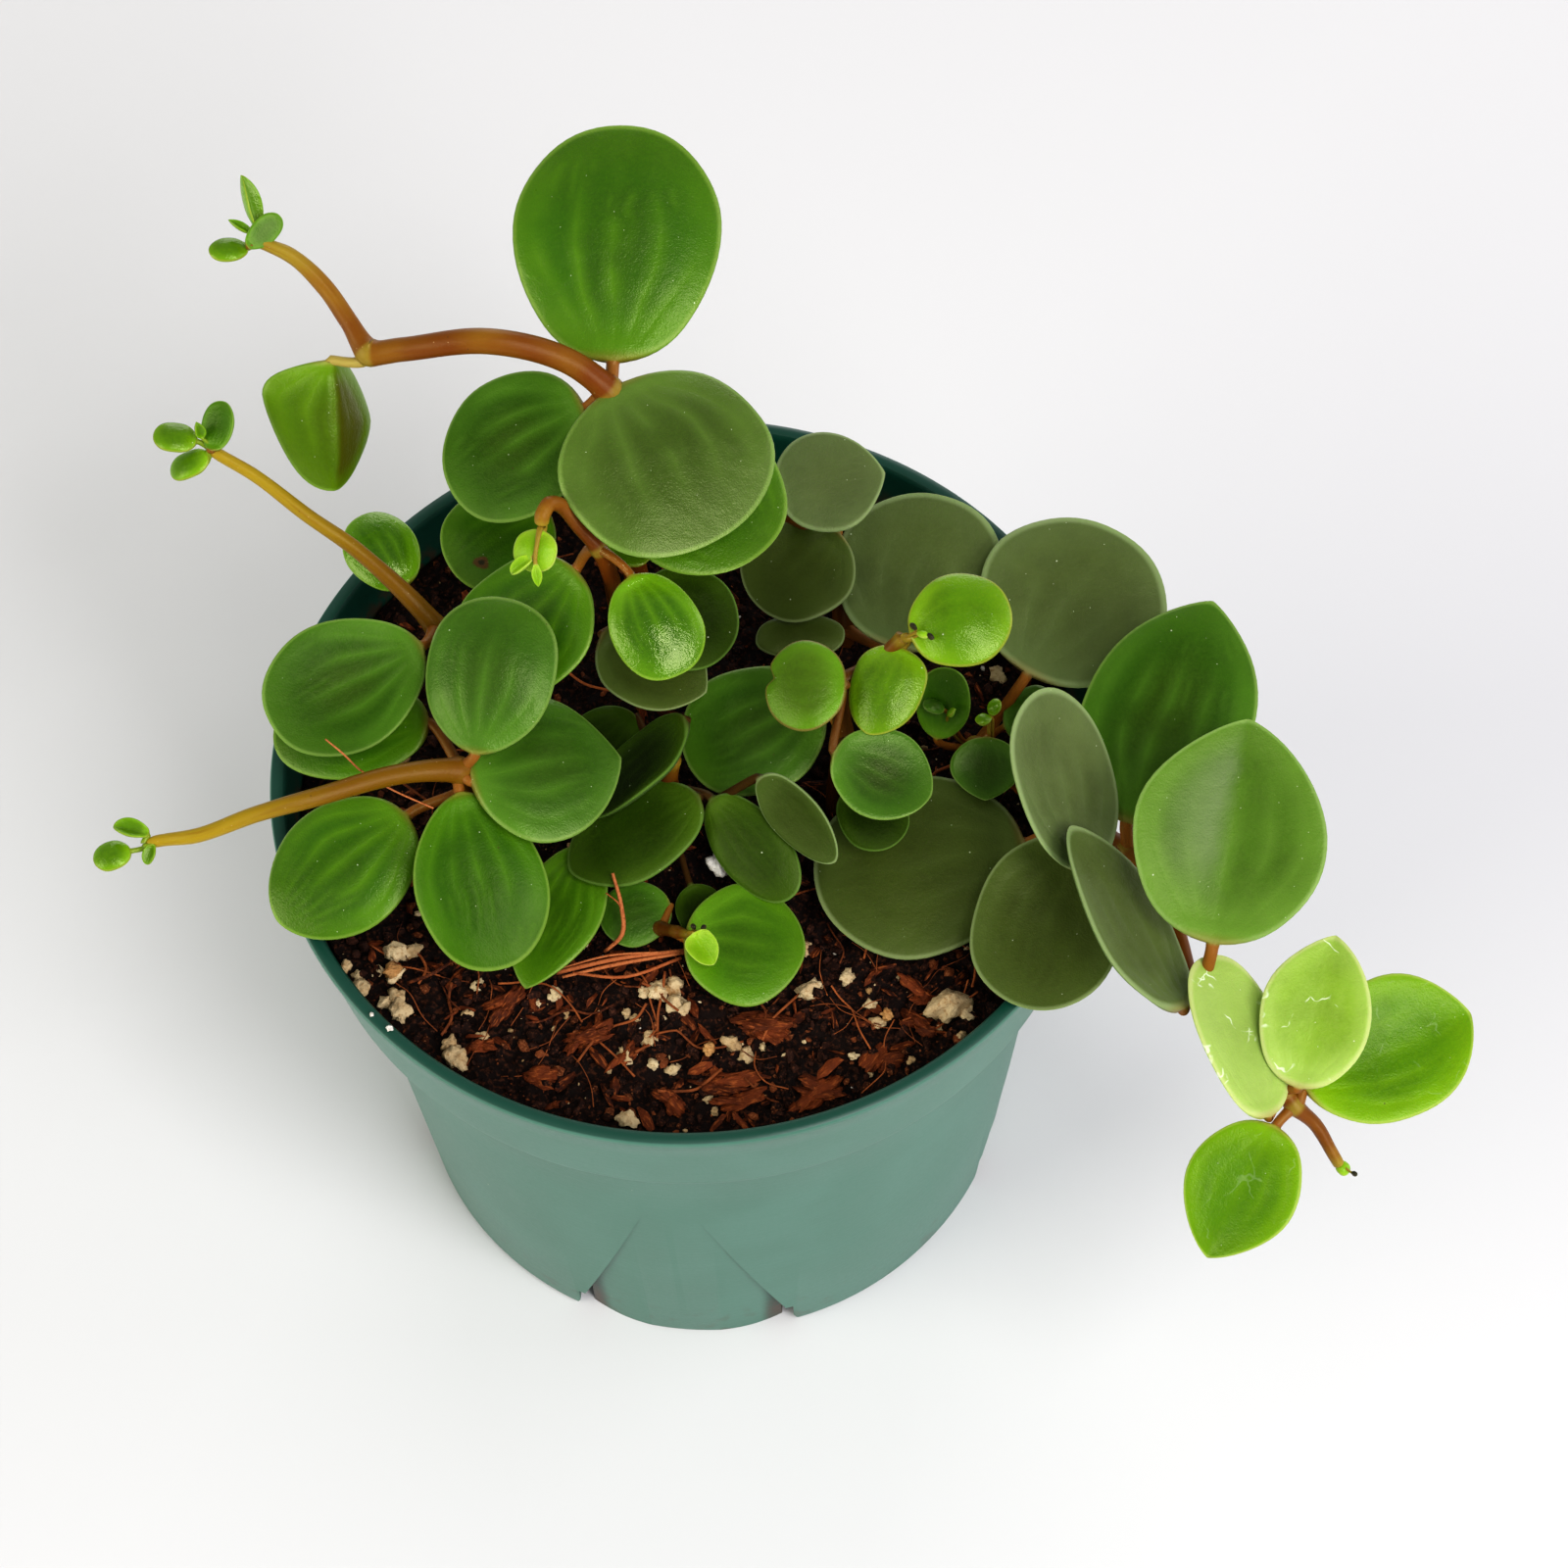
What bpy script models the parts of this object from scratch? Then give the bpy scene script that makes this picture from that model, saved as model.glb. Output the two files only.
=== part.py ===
"""Trailing jade peperomia in a round plastic nursery pot, in metres, +Z up.

The origin is the middle of the pot's underside. +X is to the right and +Y to the back when the
trailing shoot hangs over the front right of the rim. The pot is a thin tapered shell with a
collar and four arched drain recesses, the soil fills it to just under the rim, and nine stems
stand in holes in the soil. Each leaf is one solid with its petiole.
"""

import math
from dataclasses import dataclass

import bmesh
import bpy
from mathutils import Matrix, Vector
from mathutils.geometry import interpolate_bezier

MM = 0.001
GAP = 0.3 * MM

# Pot: a standard four inch pot
RIM_RADIUS = 53 * MM
POT_HEIGHT = 84 * MM
LIP_HEIGHT = 1.2 * MM
LIP_STEP = 0.4 * MM
COLLAR_HEIGHT = 17 * MM
COLLAR_FOOT_RADIUS = 50.2 * MM
LEDGE_RADIUS = 46.6 * MM
FOOT_RADIUS = 40.7 * MM
WALL = 1.5 * MM
BASE_THICKNESS = 1.8 * MM
FOOT_WALL = 3.4 * MM
FOOT_WALL_HEIGHT = 18 * MM
POT_STEPS = 48

# Drain recesses: an arch in the wall whose panel bulges forward in its middle
RECESS_COUNT = 4
FIRST_RECESS = math.radians(-97)
RECESS_HALF_WIDTH = 15.6 * MM
RECESS_TOP_HALF_WIDTH = 3.5 * MM
RECESS_HEIGHT = 45 * MM
RECESS_REACH = 14 * MM
PANEL_RADIUS = 24 * MM
PANEL_STEPS = 96
SLOT_WIDTH = 1.8 * MM
SLOT_HEIGHT = 6 * MM
SLOT_REACH = 9 * MM
CUT_PAST = 4 * MM

# Soil
SOIL_LEVEL = 76.5 * MM
SOIL_MOUND = 1.0 * MM
SOCKET_GAP = 0.5 * MM
SOCKET_STEPS = 12

# Leaves
LEAF_THICKNESS = 1.5 * MM
LEAF_SECTORS = 14
LEAF_RINGS = 4
PETIOLE_RADIUS = 0.75 * MM
PETIOLE_STEPS = 3
PETIOLE_PULL = 0.4
PETIOLE_GAP = 0.4 * MM


@dataclass(frozen=True)
class Outline:
    """Leaf outline: where it is widest, from -1 at the base to 1 at the tip, and how pointed."""

    shoulder: float
    point: float


@dataclass(frozen=True)
class Form:
    """Leaf form, as shares of its half width: rim raised, tip dropped, halves folded up."""

    cup: float
    droop: float
    fold: float


ROUND = Outline(0.10, 0.03)
WIDE = Outline(-0.05, 0.02)
OBOVATE = Outline(0.30, 0.02)
OVATE = Outline(-0.10, 0.10)
POINTED = Outline(0.00, 0.22)

FLAT = Form(0.0, 0.05, 0.0)
CUPPED = Form(0.20, 0.0, 0.0)
CROWNED = Form(-0.10, 0.08, 0.0)
DOMED = Form(-0.20, 0.10, 0.0)
ARCHED = Form(-0.08, 0.30, 0.0)
KEELED = Form(0.05, 0.12, 0.20)
FOLDED = Form(0.0, 0.20, -0.8)


@dataclass(frozen=True)
class Leaf:
    """A leaf by its blade's base in mm, its heading, pitch and roll in degrees, and its size in mm."""

    node: int
    base: tuple
    turn: tuple
    size: tuple
    outline: Outline = ROUND
    form: Form = FLAT


@dataclass(frozen=True)
class Shoot:
    """A stem as (x, y, z, radius) points in mm from the soil up, and the leaves at its nodes."""

    name: str
    color: tuple
    points: tuple
    leaves: tuple


POT_GREEN = (0.08, 0.26, 0.19)
SOIL_BROWN = (0.03, 0.018, 0.012)
STEM_BROWN = (0.36, 0.13, 0.035)
MATURE_GREEN = (0.045, 0.16, 0.02)
OLIVE_GREEN = (0.06, 0.11, 0.03)
YOUNG_GREEN = (0.16, 0.42, 0.02)

UPPER = Shoot("upper", MATURE_GREEN, (
    (-6, 27, 67, 1.6), (-6, 27, 80, 1.6), (-8, 32, 98, 1.6), (-9, 33, 112, 1.6), (-8, 32, 120, 1.7),
    (-13, 34, 124, 1.6), (-22, 35, 127, 1.6), (-33, 36.5, 124, 1.5), (-37, 37, 123, 1.5),
    (-41, 42, 126, 1.0), (-48, 47, 130, 1.0), (-50, 50, 131, 1.6), (-51, 56, 134, 0.5),
), (
    Leaf(4, (-8, 36, 122), (85, 22, 0), (28.5, 25), OBOVATE, FLAT),
    Leaf(4, (-6.5, 30, 121.5), (-58, -13, 0), (22.5, 26), WIDE, CROWNED),
    Leaf(4, (-11, 30, 118), (-165, -24, -10), (20, 20), ROUND, FLAT),
    Leaf(3, (-6, 31, 113), (-50, -12, 0), (23, 21), ROUND, FLAT),
    Leaf(8, (-42, 36, 121), (-91, -52, -28), (16, 14), OVATE, FOLDED),
))

SIDE = Shoot("side", MATURE_GREEN, (
    (-25, 9, 67, 1.4), (-25, 9, 80, 1.4), (-28, 10, 92, 1.3), (-31, 13, 98, 1.3), (-40, 20, 105, 1.1),
    (-46, 23, 109, 1.0), (-52, 27, 112, 0.9), (-56, 29, 114, 0.9), (-60, 29, 115, 1.8),
    (-64, 31, 116, 0.8),
), (
    Leaf(4, (-34, 22.5, 97), (163, 15, -5), (10.5, 10), ROUND, DOMED),
    Leaf(3, (-32.5, 9.5, 100), (-153, -3, -22), (21, 17), ROUND, CUPPED),
    Leaf(2, (-17, 28, 97), (-150, -5, -15), (16, 15), ROUND, FLAT),
))

CROWN = Shoot("crown", MATURE_GREEN, (
    (-6, 13, 67, 1.3), (-6, 13, 80, 1.3), (-8, 14, 96, 1.2), (-10, 15, 111, 1.0), (-12, 16, 114, 0.9),
    (-15, 17.5, 118, 0.9), (-16, 15.5, 118.5, 0.9), (-17, 13, 117, 1.8), (-18, 10.5, 115, 0.6),
), (
    Leaf(3, (-7, 10.5, 111), (-65, -34, 5), (14, 11), OBOVATE, DOMED),
    Leaf(3, (-13, 13, 106.5), (-140, -24, 5), (19, 18), OVATE, FLAT),
    Leaf(2, (-5, 15.5, 101), (-37, -18, 10), (14, 13), ROUND, FLAT),
    Leaf(2, (-10, 10, 96), (-30, -10, 10), (16, 13), POINTED, CUPPED),
))

LEFT = Shoot("left", MATURE_GREEN, (
    (-25, -3, 67, 1.5), (-25, -3, 80, 1.5), (-27, -7, 92, 1.5), (-28, -8, 98, 1.5), (-35, -10, 101, 1.4),
    (-45, -14, 103, 1.3), (-52, -16, 103, 1.1), (-59, -18, 102, 1.0), (-64, -18, 101, 0.9),
    (-67, -19, 101, 1.5), (-71, -20, 101, 0.7),
), (
    Leaf(3, (-27, -5, 102), (76, 26, 0), (20, 17), ROUND, DOMED),
    Leaf(3, (-26, -8, 99), (14, -8, 6), (20, 18.5), POINTED, FLAT),
    Leaf(3, (-28, -12, 97), (-80, -18, 0), (22, 16.5), OBOVATE, ARCHED),
    Leaf(2, (-33, -11, 92), (-144, -12, -10), (21, 18), ROUND, FLAT),
    Leaf(2, (-32, -2, 93), (178, -8, -10), (19, 16), ROUND, FLAT),
))

MIDDLE = Shoot("middle", MATURE_GREEN, (
    (-3, -5, 67, 1.3), (-3, -5, 80, 1.3), (-3, -4, 86, 1.2), (-2, -3, 91, 1.0),
), (
    Leaf(2, (-2, -10, 89), (-152, -10, 0), (16, 14), ROUND, FLAT),
    Leaf(3, (-2, 0, 92.5), (-155, -24, 30), (18, 13), ROUND, CUPPED),
    Leaf(2, (-6, 2, 86.5), (-140, -12, 5), (13, 11), ROUND, FLAT),
    Leaf(2, (3, -8.5, 88), (-50, -12, 20), (15, 11), ROUND, FLAT),
    Leaf(3, (7, -6, 93), (-49, -16, 55), (15, 8), ROUND, CUPPED),
))

FRONT = Shoot("front", MATURE_GREEN, (
    (-6, -17, 67, 1.2), (-6, -17, 80, 1.2), (-4, -21, 82, 1.0), (-2, -24, 83, 0.9),
), (
    Leaf(1, (-13, -16, 83), (-113, -5, 10), (17, 14), POINTED, FLAT),
    Leaf(2, (-5.5, -22.5, 80.5), (-165, 0, -10), (8, 8.5), ROUND, FLAT),
    Leaf(3, (0.5, -24, 82.5), (-10, -3, 5), (14, 15.5), OVATE, FLAT),
))

RIGHT = Shoot("right", YOUNG_GREEN, (
    (18, -3, 67, 1.3), (18, -3, 80, 1.3), (19, -1, 92, 1.2), (19, 1, 100, 1.1), (23, 3, 101, 0.9),
    (27, 4.5, 105, 0.9),
), (
    Leaf(3, (18.5, 0, 104), (175, -5, -15), (9.5, 10), ROUND, FLAT),
    Leaf(5, (26, 1.5, 104), (-120, -16, 0), (10, 9.5), OVATE, DOMED),
    Leaf(5, (29, 5.5, 107), (12, 10, 15), (12, 12), ROUND, DOMED),
    Leaf(3, (18.5, -6, 98), (-22, -14, 10), (13, 12), ROUND, CUPPED),
    Leaf(2, (19.5, -9, 90), (-45, -15, 5), (11, 10), ROUND, FLAT),
    Leaf(2, (15, 5, 90), (-160, -10, -10), (18, 17), ROUND, FLAT),
))

BACK = Shoot("back", OLIVE_GREEN, (
    (20, 22, 67, 1.3), (20, 22, 80, 1.3), (18, 29.5, 89, 1.2), (10, 30.5, 97, 1.0),
), (
    Leaf(3, (12, 29, 99), (17, 0, 12), (14, 13), POINTED, FLAT),
    Leaf(2, (18, 27, 92), (-140, -10, 0), (16, 15), ROUND, FLAT),
    Leaf(1, (25, 14, 87), (68, 19, 0), (20, 19), ROUND, FLAT),
    Leaf(1, (16.5, 19.5, 87.5), (-90, -4, 0), (9, 11), ROUND, FLAT),
))

TRAILING = Shoot("trailing", OLIVE_GREEN, (
    (36, 3, 67, 1.4), (36, 3, 80, 1.4), (38, -1, 83, 1.3), (46, -11, 86, 1.3), (53, -18, 89, 1.3),
    (58, -28, 88, 1.2), (60, -36, 86, 1.2), (65, -43, 83, 1.1), (69.5, -47.5, 81.5, 1.1),
    (72, -50, 80, 1.1), (76, -54, 76, 0.9), (78, -56, 74, 0.7),
), (
    Leaf(1, (42, 7, 90), (55, 15, 5), (23, 22), ROUND, FLAT),
    Leaf(1, (30, 1, 87), (70, 60, 0), (10, 8), ROUND, CUPPED),
    Leaf(2, (36, 0, 88), (-95, -20, 0), (8.5, 9), ROUND, FLAT),
    Leaf(1, (40, 1, 85), (10, 25, 0), (8, 8), ROUND, FLAT),
    Leaf(3, (40, -12, 84), (-170, -2, -8), (25, 22), ROUND, FLAT),
    Leaf(4, (47, -18, 87), (-112, -10, 0), (20, 19), ROUND, CUPPED),
    Leaf(3, (49.5, -17.5, 96), (117, 25, 15), (18, 17), ROUND, CUPPED),
    Leaf(4, (55, -18, 94.5), (65, 22, 0), (29, 22), POINTED, ARCHED),
    Leaf(6, (62, -33, 94), (77, 25, 0), (28, 23), POINTED, KEELED),
    Leaf(6, (59, -38, 90.5), (127, 12, 15), (22, 14.5), POINTED, CUPPED),
    Leaf(8, (68.3, -49, 85.3), (118, 14, 10), (14, 12), POINTED, KEELED),
    Leaf(8, (73.5, -47, 86), (78, 24, 0), (18, 13.5), POINTED, KEELED),
    Leaf(9, (76, -49, 83.5), (23, 3, 20), (20, 17), POINTED, FLAT),
    Leaf(9, (70, -53, 81), (-130, -24, 0), (19, 14.5), OVATE, KEELED),
))

SHOOTS = (UPPER, SIDE, CROWN, LEFT, MIDDLE, FRONT, RIGHT, BACK, TRAILING)


def clear_scene():
    """Remove what the file opens with."""
    for obj in list(bpy.data.objects):
        bpy.data.objects.remove(obj, do_unlink=True)


def make_collection(name):
    """A collection linked to the scene."""
    collection = bpy.data.collections.new(name)
    bpy.context.scene.collection.children.link(collection)
    return collection


def make_material(name, color, roughness):
    """An opaque, non-metallic material."""
    material = bpy.data.materials.new(name)
    material.use_nodes = True
    shader = material.node_tree.nodes["Principled BSDF"]
    shader.inputs["Base Color"].default_value = (*color, 1.0)
    shader.inputs["Roughness"].default_value = roughness
    shader.inputs["Metallic"].default_value = 0.0
    material.diffuse_color = (*color, 1.0)
    return material


def link_object(name, data, collection, material=None):
    """An object for this data, in this collection."""
    obj = bpy.data.objects.new(name, data)
    if material:
        data.materials.append(material)
    collection.objects.link(obj)
    return obj


def keep_as_cutter(obj, name, cutters):
    """Name a helper, move it to the cutters and keep it out of the render."""
    obj.name = name
    for owner in list(obj.users_collection):
        owner.objects.unlink(obj)
    cutters.objects.link(obj)
    obj.hide_render = True
    obj.display_type = "WIRE"


def cut_with(obj, cutter):
    """Subtract the cutter from the object."""
    modifier = obj.modifiers.new(f"cut_{cutter.name}", "BOOLEAN")
    modifier.operation = "DIFFERENCE"
    modifier.solver = "EXACT"
    modifier.object = cutter


def turned_object(name, profile, steps, collection, material=None):
    """A profile of (radius, height) points, outer side first and downwards, turned about Z."""
    mesh = bpy.data.meshes.new(name)
    count = len(profile)
    line = [(i, i + 1) for i in range(count - 1)]
    if profile[0][0] > 0:
        line.append((count - 1, 0))
    mesh.from_pydata([(radius, 0, height) for radius, height in profile], line, [])
    obj = link_object(name, mesh, collection, material)
    screw = obj.modifiers.new("turn", "SCREW")
    screw.axis = "Z"
    screw.steps = steps
    screw.render_steps = steps
    screw.use_merge_vertices = True
    screw.merge_threshold = 0.01 * MM
    screw.use_smooth_shade = True
    return obj


def wall_radius(height):
    """Outer radius of the tapered wall under the collar."""
    share = height / (POT_HEIGHT - COLLAR_HEIGHT)
    return FOOT_RADIUS + (LEDGE_RADIUS - FOOT_RADIUS) * share


def collar_radius(height):
    """Outer radius of the collar."""
    share = (POT_HEIGHT - LIP_HEIGHT - height) / (COLLAR_HEIGHT - LIP_HEIGHT)
    top = RIM_RADIUS - LIP_STEP
    return top + (COLLAR_FOOT_RADIUS - top) * share


def pot_inside():
    """Inner profile of the pot from the middle of its floor up to the rim, as (radius, height)."""
    ledge = POT_HEIGHT - COLLAR_HEIGHT
    return [
        (0, BASE_THICKNESS),
        (wall_radius(0) - FOOT_WALL, BASE_THICKNESS),
        (wall_radius(FOOT_WALL_HEIGHT) - FOOT_WALL, FOOT_WALL_HEIGHT),
        (wall_radius(FOOT_WALL_HEIGHT + 2 * MM) - WALL, FOOT_WALL_HEIGHT + 2 * MM),
        (wall_radius(ledge) - WALL, ledge),
        (collar_radius(ledge + WALL) - WALL, ledge + WALL),
        (collar_radius(POT_HEIGHT - LIP_HEIGHT) - WALL, POT_HEIGHT - LIP_HEIGHT),
        (RIM_RADIUS - 2 * WALL + LIP_STEP, POT_HEIGHT),
    ]


def pot_outside():
    """Outer profile of the pot from the rim down to the middle of its underside."""
    ledge = POT_HEIGHT - COLLAR_HEIGHT
    return [
        (RIM_RADIUS - LIP_STEP, POT_HEIGHT),
        (RIM_RADIUS, POT_HEIGHT - LIP_STEP),
        (RIM_RADIUS, POT_HEIGHT - LIP_HEIGHT),
        (collar_radius(POT_HEIGHT - LIP_HEIGHT), POT_HEIGHT - LIP_HEIGHT - LIP_STEP),
        (COLLAR_FOOT_RADIUS, ledge),
        (wall_radius(ledge), ledge - 0.5 * MM),
        (FOOT_RADIUS, 0),
        (0, 0),
    ]


def recess_turn(index):
    """Turns a helper made on the +Y side to the wall of this recess."""
    angle = FIRST_RECESS + index * math.tau / RECESS_COUNT
    return Matrix.Rotation(angle - math.pi / 2, 4, "Z")


def make_recess_cutter(index, cutters):
    """An arch in the wall, less the cone that stays as the bulging panel."""
    bpy.ops.mesh.primitive_cube_add(size=1)
    arch = bpy.context.object
    for vertex in arch.data.vertices:
        top = vertex.co.z > 0
        vertex.co.x *= 2 * (RECESS_TOP_HALF_WIDTH if top else RECESS_HALF_WIDTH)
        vertex.co.y = FOOT_RADIUS + CUT_PAST + (vertex.co.y - 0.5) * RECESS_REACH
        vertex.co.z = RECESS_HEIGHT if top else -MM
    taper = (LEDGE_RADIUS - FOOT_RADIUS) / (POT_HEIGHT - COLLAR_HEIGHT)
    reach = RECESS_HEIGHT + CUT_PAST
    bpy.ops.mesh.primitive_cone_add(
        vertices=PANEL_STEPS, depth=2 * reach,
        radius1=PANEL_RADIUS - taper * reach, radius2=PANEL_RADIUS + taper * reach)
    panel = bpy.context.object
    arch.matrix_world = recess_turn(index)
    panel.matrix_world = recess_turn(index) @ Matrix.Translation((0, FOOT_RADIUS - PANEL_RADIUS, 0))
    keep_as_cutter(arch, f"recess_{index}", cutters)
    keep_as_cutter(panel, f"recess_panel_{index}", cutters)
    cut_with(arch, panel)
    return arch


def make_slot_cutter(index, side, cutters):
    """A drain slot through the foot of the wall at one end of a recess."""
    bpy.ops.mesh.primitive_cube_add(size=1)
    slot = bpy.context.object
    for vertex in slot.data.vertices:
        vertex.co.x = side * (RECESS_HALF_WIDTH - SLOT_WIDTH) + vertex.co.x * SLOT_WIDTH
        vertex.co.y = FOOT_RADIUS - CUT_PAST + vertex.co.y * SLOT_REACH
        vertex.co.z = SLOT_HEIGHT if vertex.co.z > 0 else -MM
    slot.matrix_world = recess_turn(index)
    keep_as_cutter(slot, f"slot_{index}_{side}", cutters)
    return slot


def make_pot(parts, cutters):
    """The pot: a turned shell with four recesses and eight drain slots."""
    green = make_material("pot_plastic", POT_GREEN, 0.45)
    pot = turned_object("pot", pot_outside() + pot_inside(), POT_STEPS, parts, green)
    for index in range(RECESS_COUNT):
        cut_with(pot, make_recess_cutter(index, cutters))
        for side in (-1, 1):
            cut_with(pot, make_slot_cutter(index, side, cutters))


def make_socket_cutter(shoot, cutters):
    """The hole in the soil that a stem stands in."""
    x, y, foot, radius = (value * MM for value in shoot.points[0])
    bottom = foot - GAP
    depth = SOIL_LEVEL + 2 * SOIL_MOUND - bottom
    bpy.ops.mesh.primitive_cylinder_add(
        vertices=SOCKET_STEPS, radius=radius + SOCKET_GAP, depth=depth,
        location=(x, y, bottom + depth / 2))
    socket = bpy.context.object
    keep_as_cutter(socket, f"{shoot.name}_socket", cutters)
    return socket


def make_soil(parts, cutters):
    """The soil: a plug that follows the pot's inside, with a socket for each stem."""
    brown = make_material("potting_soil", SOIL_BROWN, 0.95)
    sides = [(radius - GAP, height) for radius, height in pot_inside()[2:-2]]
    foot = (wall_radius(0) - FOOT_WALL - GAP, BASE_THICKNESS + GAP)
    edge = collar_radius(SOIL_LEVEL) - WALL - GAP
    top = [(0, SOIL_LEVEL + SOIL_MOUND), (edge / 2, SOIL_LEVEL + 0.7 * SOIL_MOUND), (edge, SOIL_LEVEL)]
    profile = [*top, *reversed(sides), foot, (0, BASE_THICKNESS + GAP)]
    soil = turned_object("soil", profile, POT_STEPS, parts, brown)
    for shoot in SHOOTS:
        cut_with(soil, make_socket_cutter(shoot, cutters))


def make_stem(shoot, parts, material):
    """A tapered tube through the shoot's points."""
    curve = bpy.data.curves.new(f"{shoot.name}_stem", "CURVE")
    curve.dimensions = "3D"
    curve.resolution_u = 3
    curve.bevel_depth = MM
    curve.bevel_resolution = 2
    curve.use_fill_caps = True
    spline = curve.splines.new("BEZIER")
    spline.bezier_points.add(len(shoot.points) - 1)
    for point, (x, y, z, radius) in zip(spline.bezier_points, shoot.points):
        point.co = Vector((x, y, z)) * MM
        point.radius = radius
        point.handle_left_type = "AUTO"
        point.handle_right_type = "AUTO"
    spline.bezier_points[0].handle_right_type = "VECTOR"
    spline.bezier_points[1].handle_left_type = "VECTOR"
    return link_object(f"{shoot.name}_stem", curve, parts, material)


def blade_point(unit, leaf):
    """Maps a point of the unit sphere to the leaf's own frame, with the tip along +Y."""
    length, width = (value * MM for value in leaf.size)
    reach = math.hypot(unit.x, unit.y)
    if reach < 1e-6:
        across, along = 0.0, 0.5
    else:
        rim_across, rim_along = unit.x / reach, unit.y / reach
        waist = 1 + leaf.outline.shoulder * rim_along - leaf.outline.point * max(rim_along, 0) ** 2
        across = reach * rim_across * waist
        along = 0.5 + 0.5 * reach * rim_along
    x = across * width / 2
    lift = leaf.form.cup * reach ** 2 - leaf.form.droop * along ** 2 + leaf.form.fold * abs(across)
    return Vector((x, along * length, unit.z * LEAF_THICKNESS / 2 + lift * width / 2))


def leaf_frame(leaf):
    """The leaf's place: heading about Z, pitch up, then roll about its midrib."""
    heading, pitch, roll = (math.radians(value) for value in leaf.turn)
    turn = Matrix.Rotation(heading - math.pi / 2, 4, "Z") @ Matrix.Rotation(pitch, 4, "X")
    base = Vector(leaf.base) * MM
    return Matrix.Translation(base) @ turn @ Matrix.Rotation(roll, 4, "Y")


def petiole_end(shoot, leaf):
    """Where the petiole stops, just short of the stem at its node, and the way out from there."""
    x, y, z, radius = (value * MM for value in shoot.points[leaf.node])
    node = Vector((x, y, z))
    before = Vector(shoot.points[max(leaf.node - 1, 0)][:3])
    after = Vector(shoot.points[min(leaf.node + 1, len(shoot.points) - 1)][:3])
    axis = (after - before).normalized()
    away = Vector(leaf.base) * MM - node
    side = (away - axis * away.dot(axis)).normalized()
    return node + side * (radius + PETIOLE_GAP), side


def number_corners(bm):
    """Finds the two rim faces at the blade's base, and numbers their six corners in turn."""
    corner = bm.verts.layers.int.new("corner")
    faces = sorted(bm.faces, key=lambda face: face.calc_center_median().y)[:2]
    for vertex in {vertex for face in faces for vertex in face.verts}:
        level = round(vertex.co.z / max(abs(vertex.co.z), 0.1))
        vertex[corner] = 4 - level if vertex.co.x < 0 else 1 + level % 6
    return faces


def draw_petiole(bm, faces, frame, end, side):
    """Extrudes the base faces along a line that leaves the blade and meets the stem squarely."""
    corner = bm.verts.layers.int["corner"]
    base = frame.translation
    pull = (end - base).length * PETIOLE_PULL
    guide = (base, base - frame.col[1].to_3d() * pull, end + side * pull, end)
    line = interpolate_bezier(*guide, PETIOLE_STEPS + 1)
    for step in range(1, PETIOLE_STEPS + 1):
        grown = bmesh.ops.extrude_face_region(bm, geom=faces)["geom"]
        bmesh.ops.delete(bm, geom=faces, context="FACES")
        faces = [item for item in grown if isinstance(item, bmesh.types.BMFace)]
        last = step == PETIOLE_STEPS
        ahead = -side if last else (line[step + 1] - line[step - 1]).normalized()
        across = frame.col[0].to_3d()
        across = (across - ahead * across.dot(ahead)).normalized()
        up = across.cross(-ahead)
        for vertex in (item for item in grown if isinstance(item, bmesh.types.BMVert)):
            angle = (vertex[corner] - 1) * math.tau / 6
            ray = across * math.cos(angle) + up * math.sin(angle)
            vertex.co = line[step] + ray * PETIOLE_RADIUS


def make_leaf(name, shoot, leaf, parts, material):
    """A leaf: a sphere pressed into the blade's outline, with the petiole drawn out of its rim."""
    bm = bmesh.new()
    half_sector = Matrix.Rotation(math.pi / LEAF_SECTORS, 4, "Z")
    bmesh.ops.create_uvsphere(
        bm, u_segments=LEAF_SECTORS, v_segments=LEAF_RINGS, radius=1, matrix=half_sector)
    faces = number_corners(bm)
    frame = leaf_frame(leaf)
    for vertex in bm.verts:
        vertex.co = frame @ blade_point(vertex.co, leaf)
    end, side = petiole_end(shoot, leaf)
    draw_petiole(bm, faces, frame, end, side)
    bmesh.ops.recalc_face_normals(bm, faces=bm.faces)
    mesh = bpy.data.meshes.new(name)
    bm.to_mesh(mesh)
    bm.free()
    mesh.shade_smooth()
    return link_object(name, mesh, parts, material)


def main():
    """Builds the pot, the soil, the stems and their leaves."""
    clear_scene()
    parts = make_collection("trailing_jade_peperomia")
    cutters = make_collection("cutters")
    make_pot(parts, cutters)
    make_soil(parts, cutters)
    stem_material = make_material("stem", STEM_BROWN, 0.5)
    for shoot in SHOOTS:
        make_stem(shoot, parts, stem_material)
        leaf_material = make_material(f"{shoot.name}_leaf", shoot.color, 0.35)
        for number, leaf in enumerate(shoot.leaves, start=1):
            make_leaf(f"{shoot.name}_leaf_{number}", shoot, leaf, parts, leaf_material)


main()
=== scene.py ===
"""Trailing jade peperomia in its nursery pot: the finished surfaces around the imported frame.

Places and sizes in the tables are millimetres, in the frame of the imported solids. A leaf is copied
from one plain leaf, which is a sphere with its poles at the tip and at the base, and a stalk.
"""

import logging
import math
import random
from collections.abc import Callable, Sequence
from dataclasses import dataclass, replace
from enum import Enum

import bpy
from mathutils import Euler, Matrix, Vector, noise
from mathutils.geometry import interpolate_bezier


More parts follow.
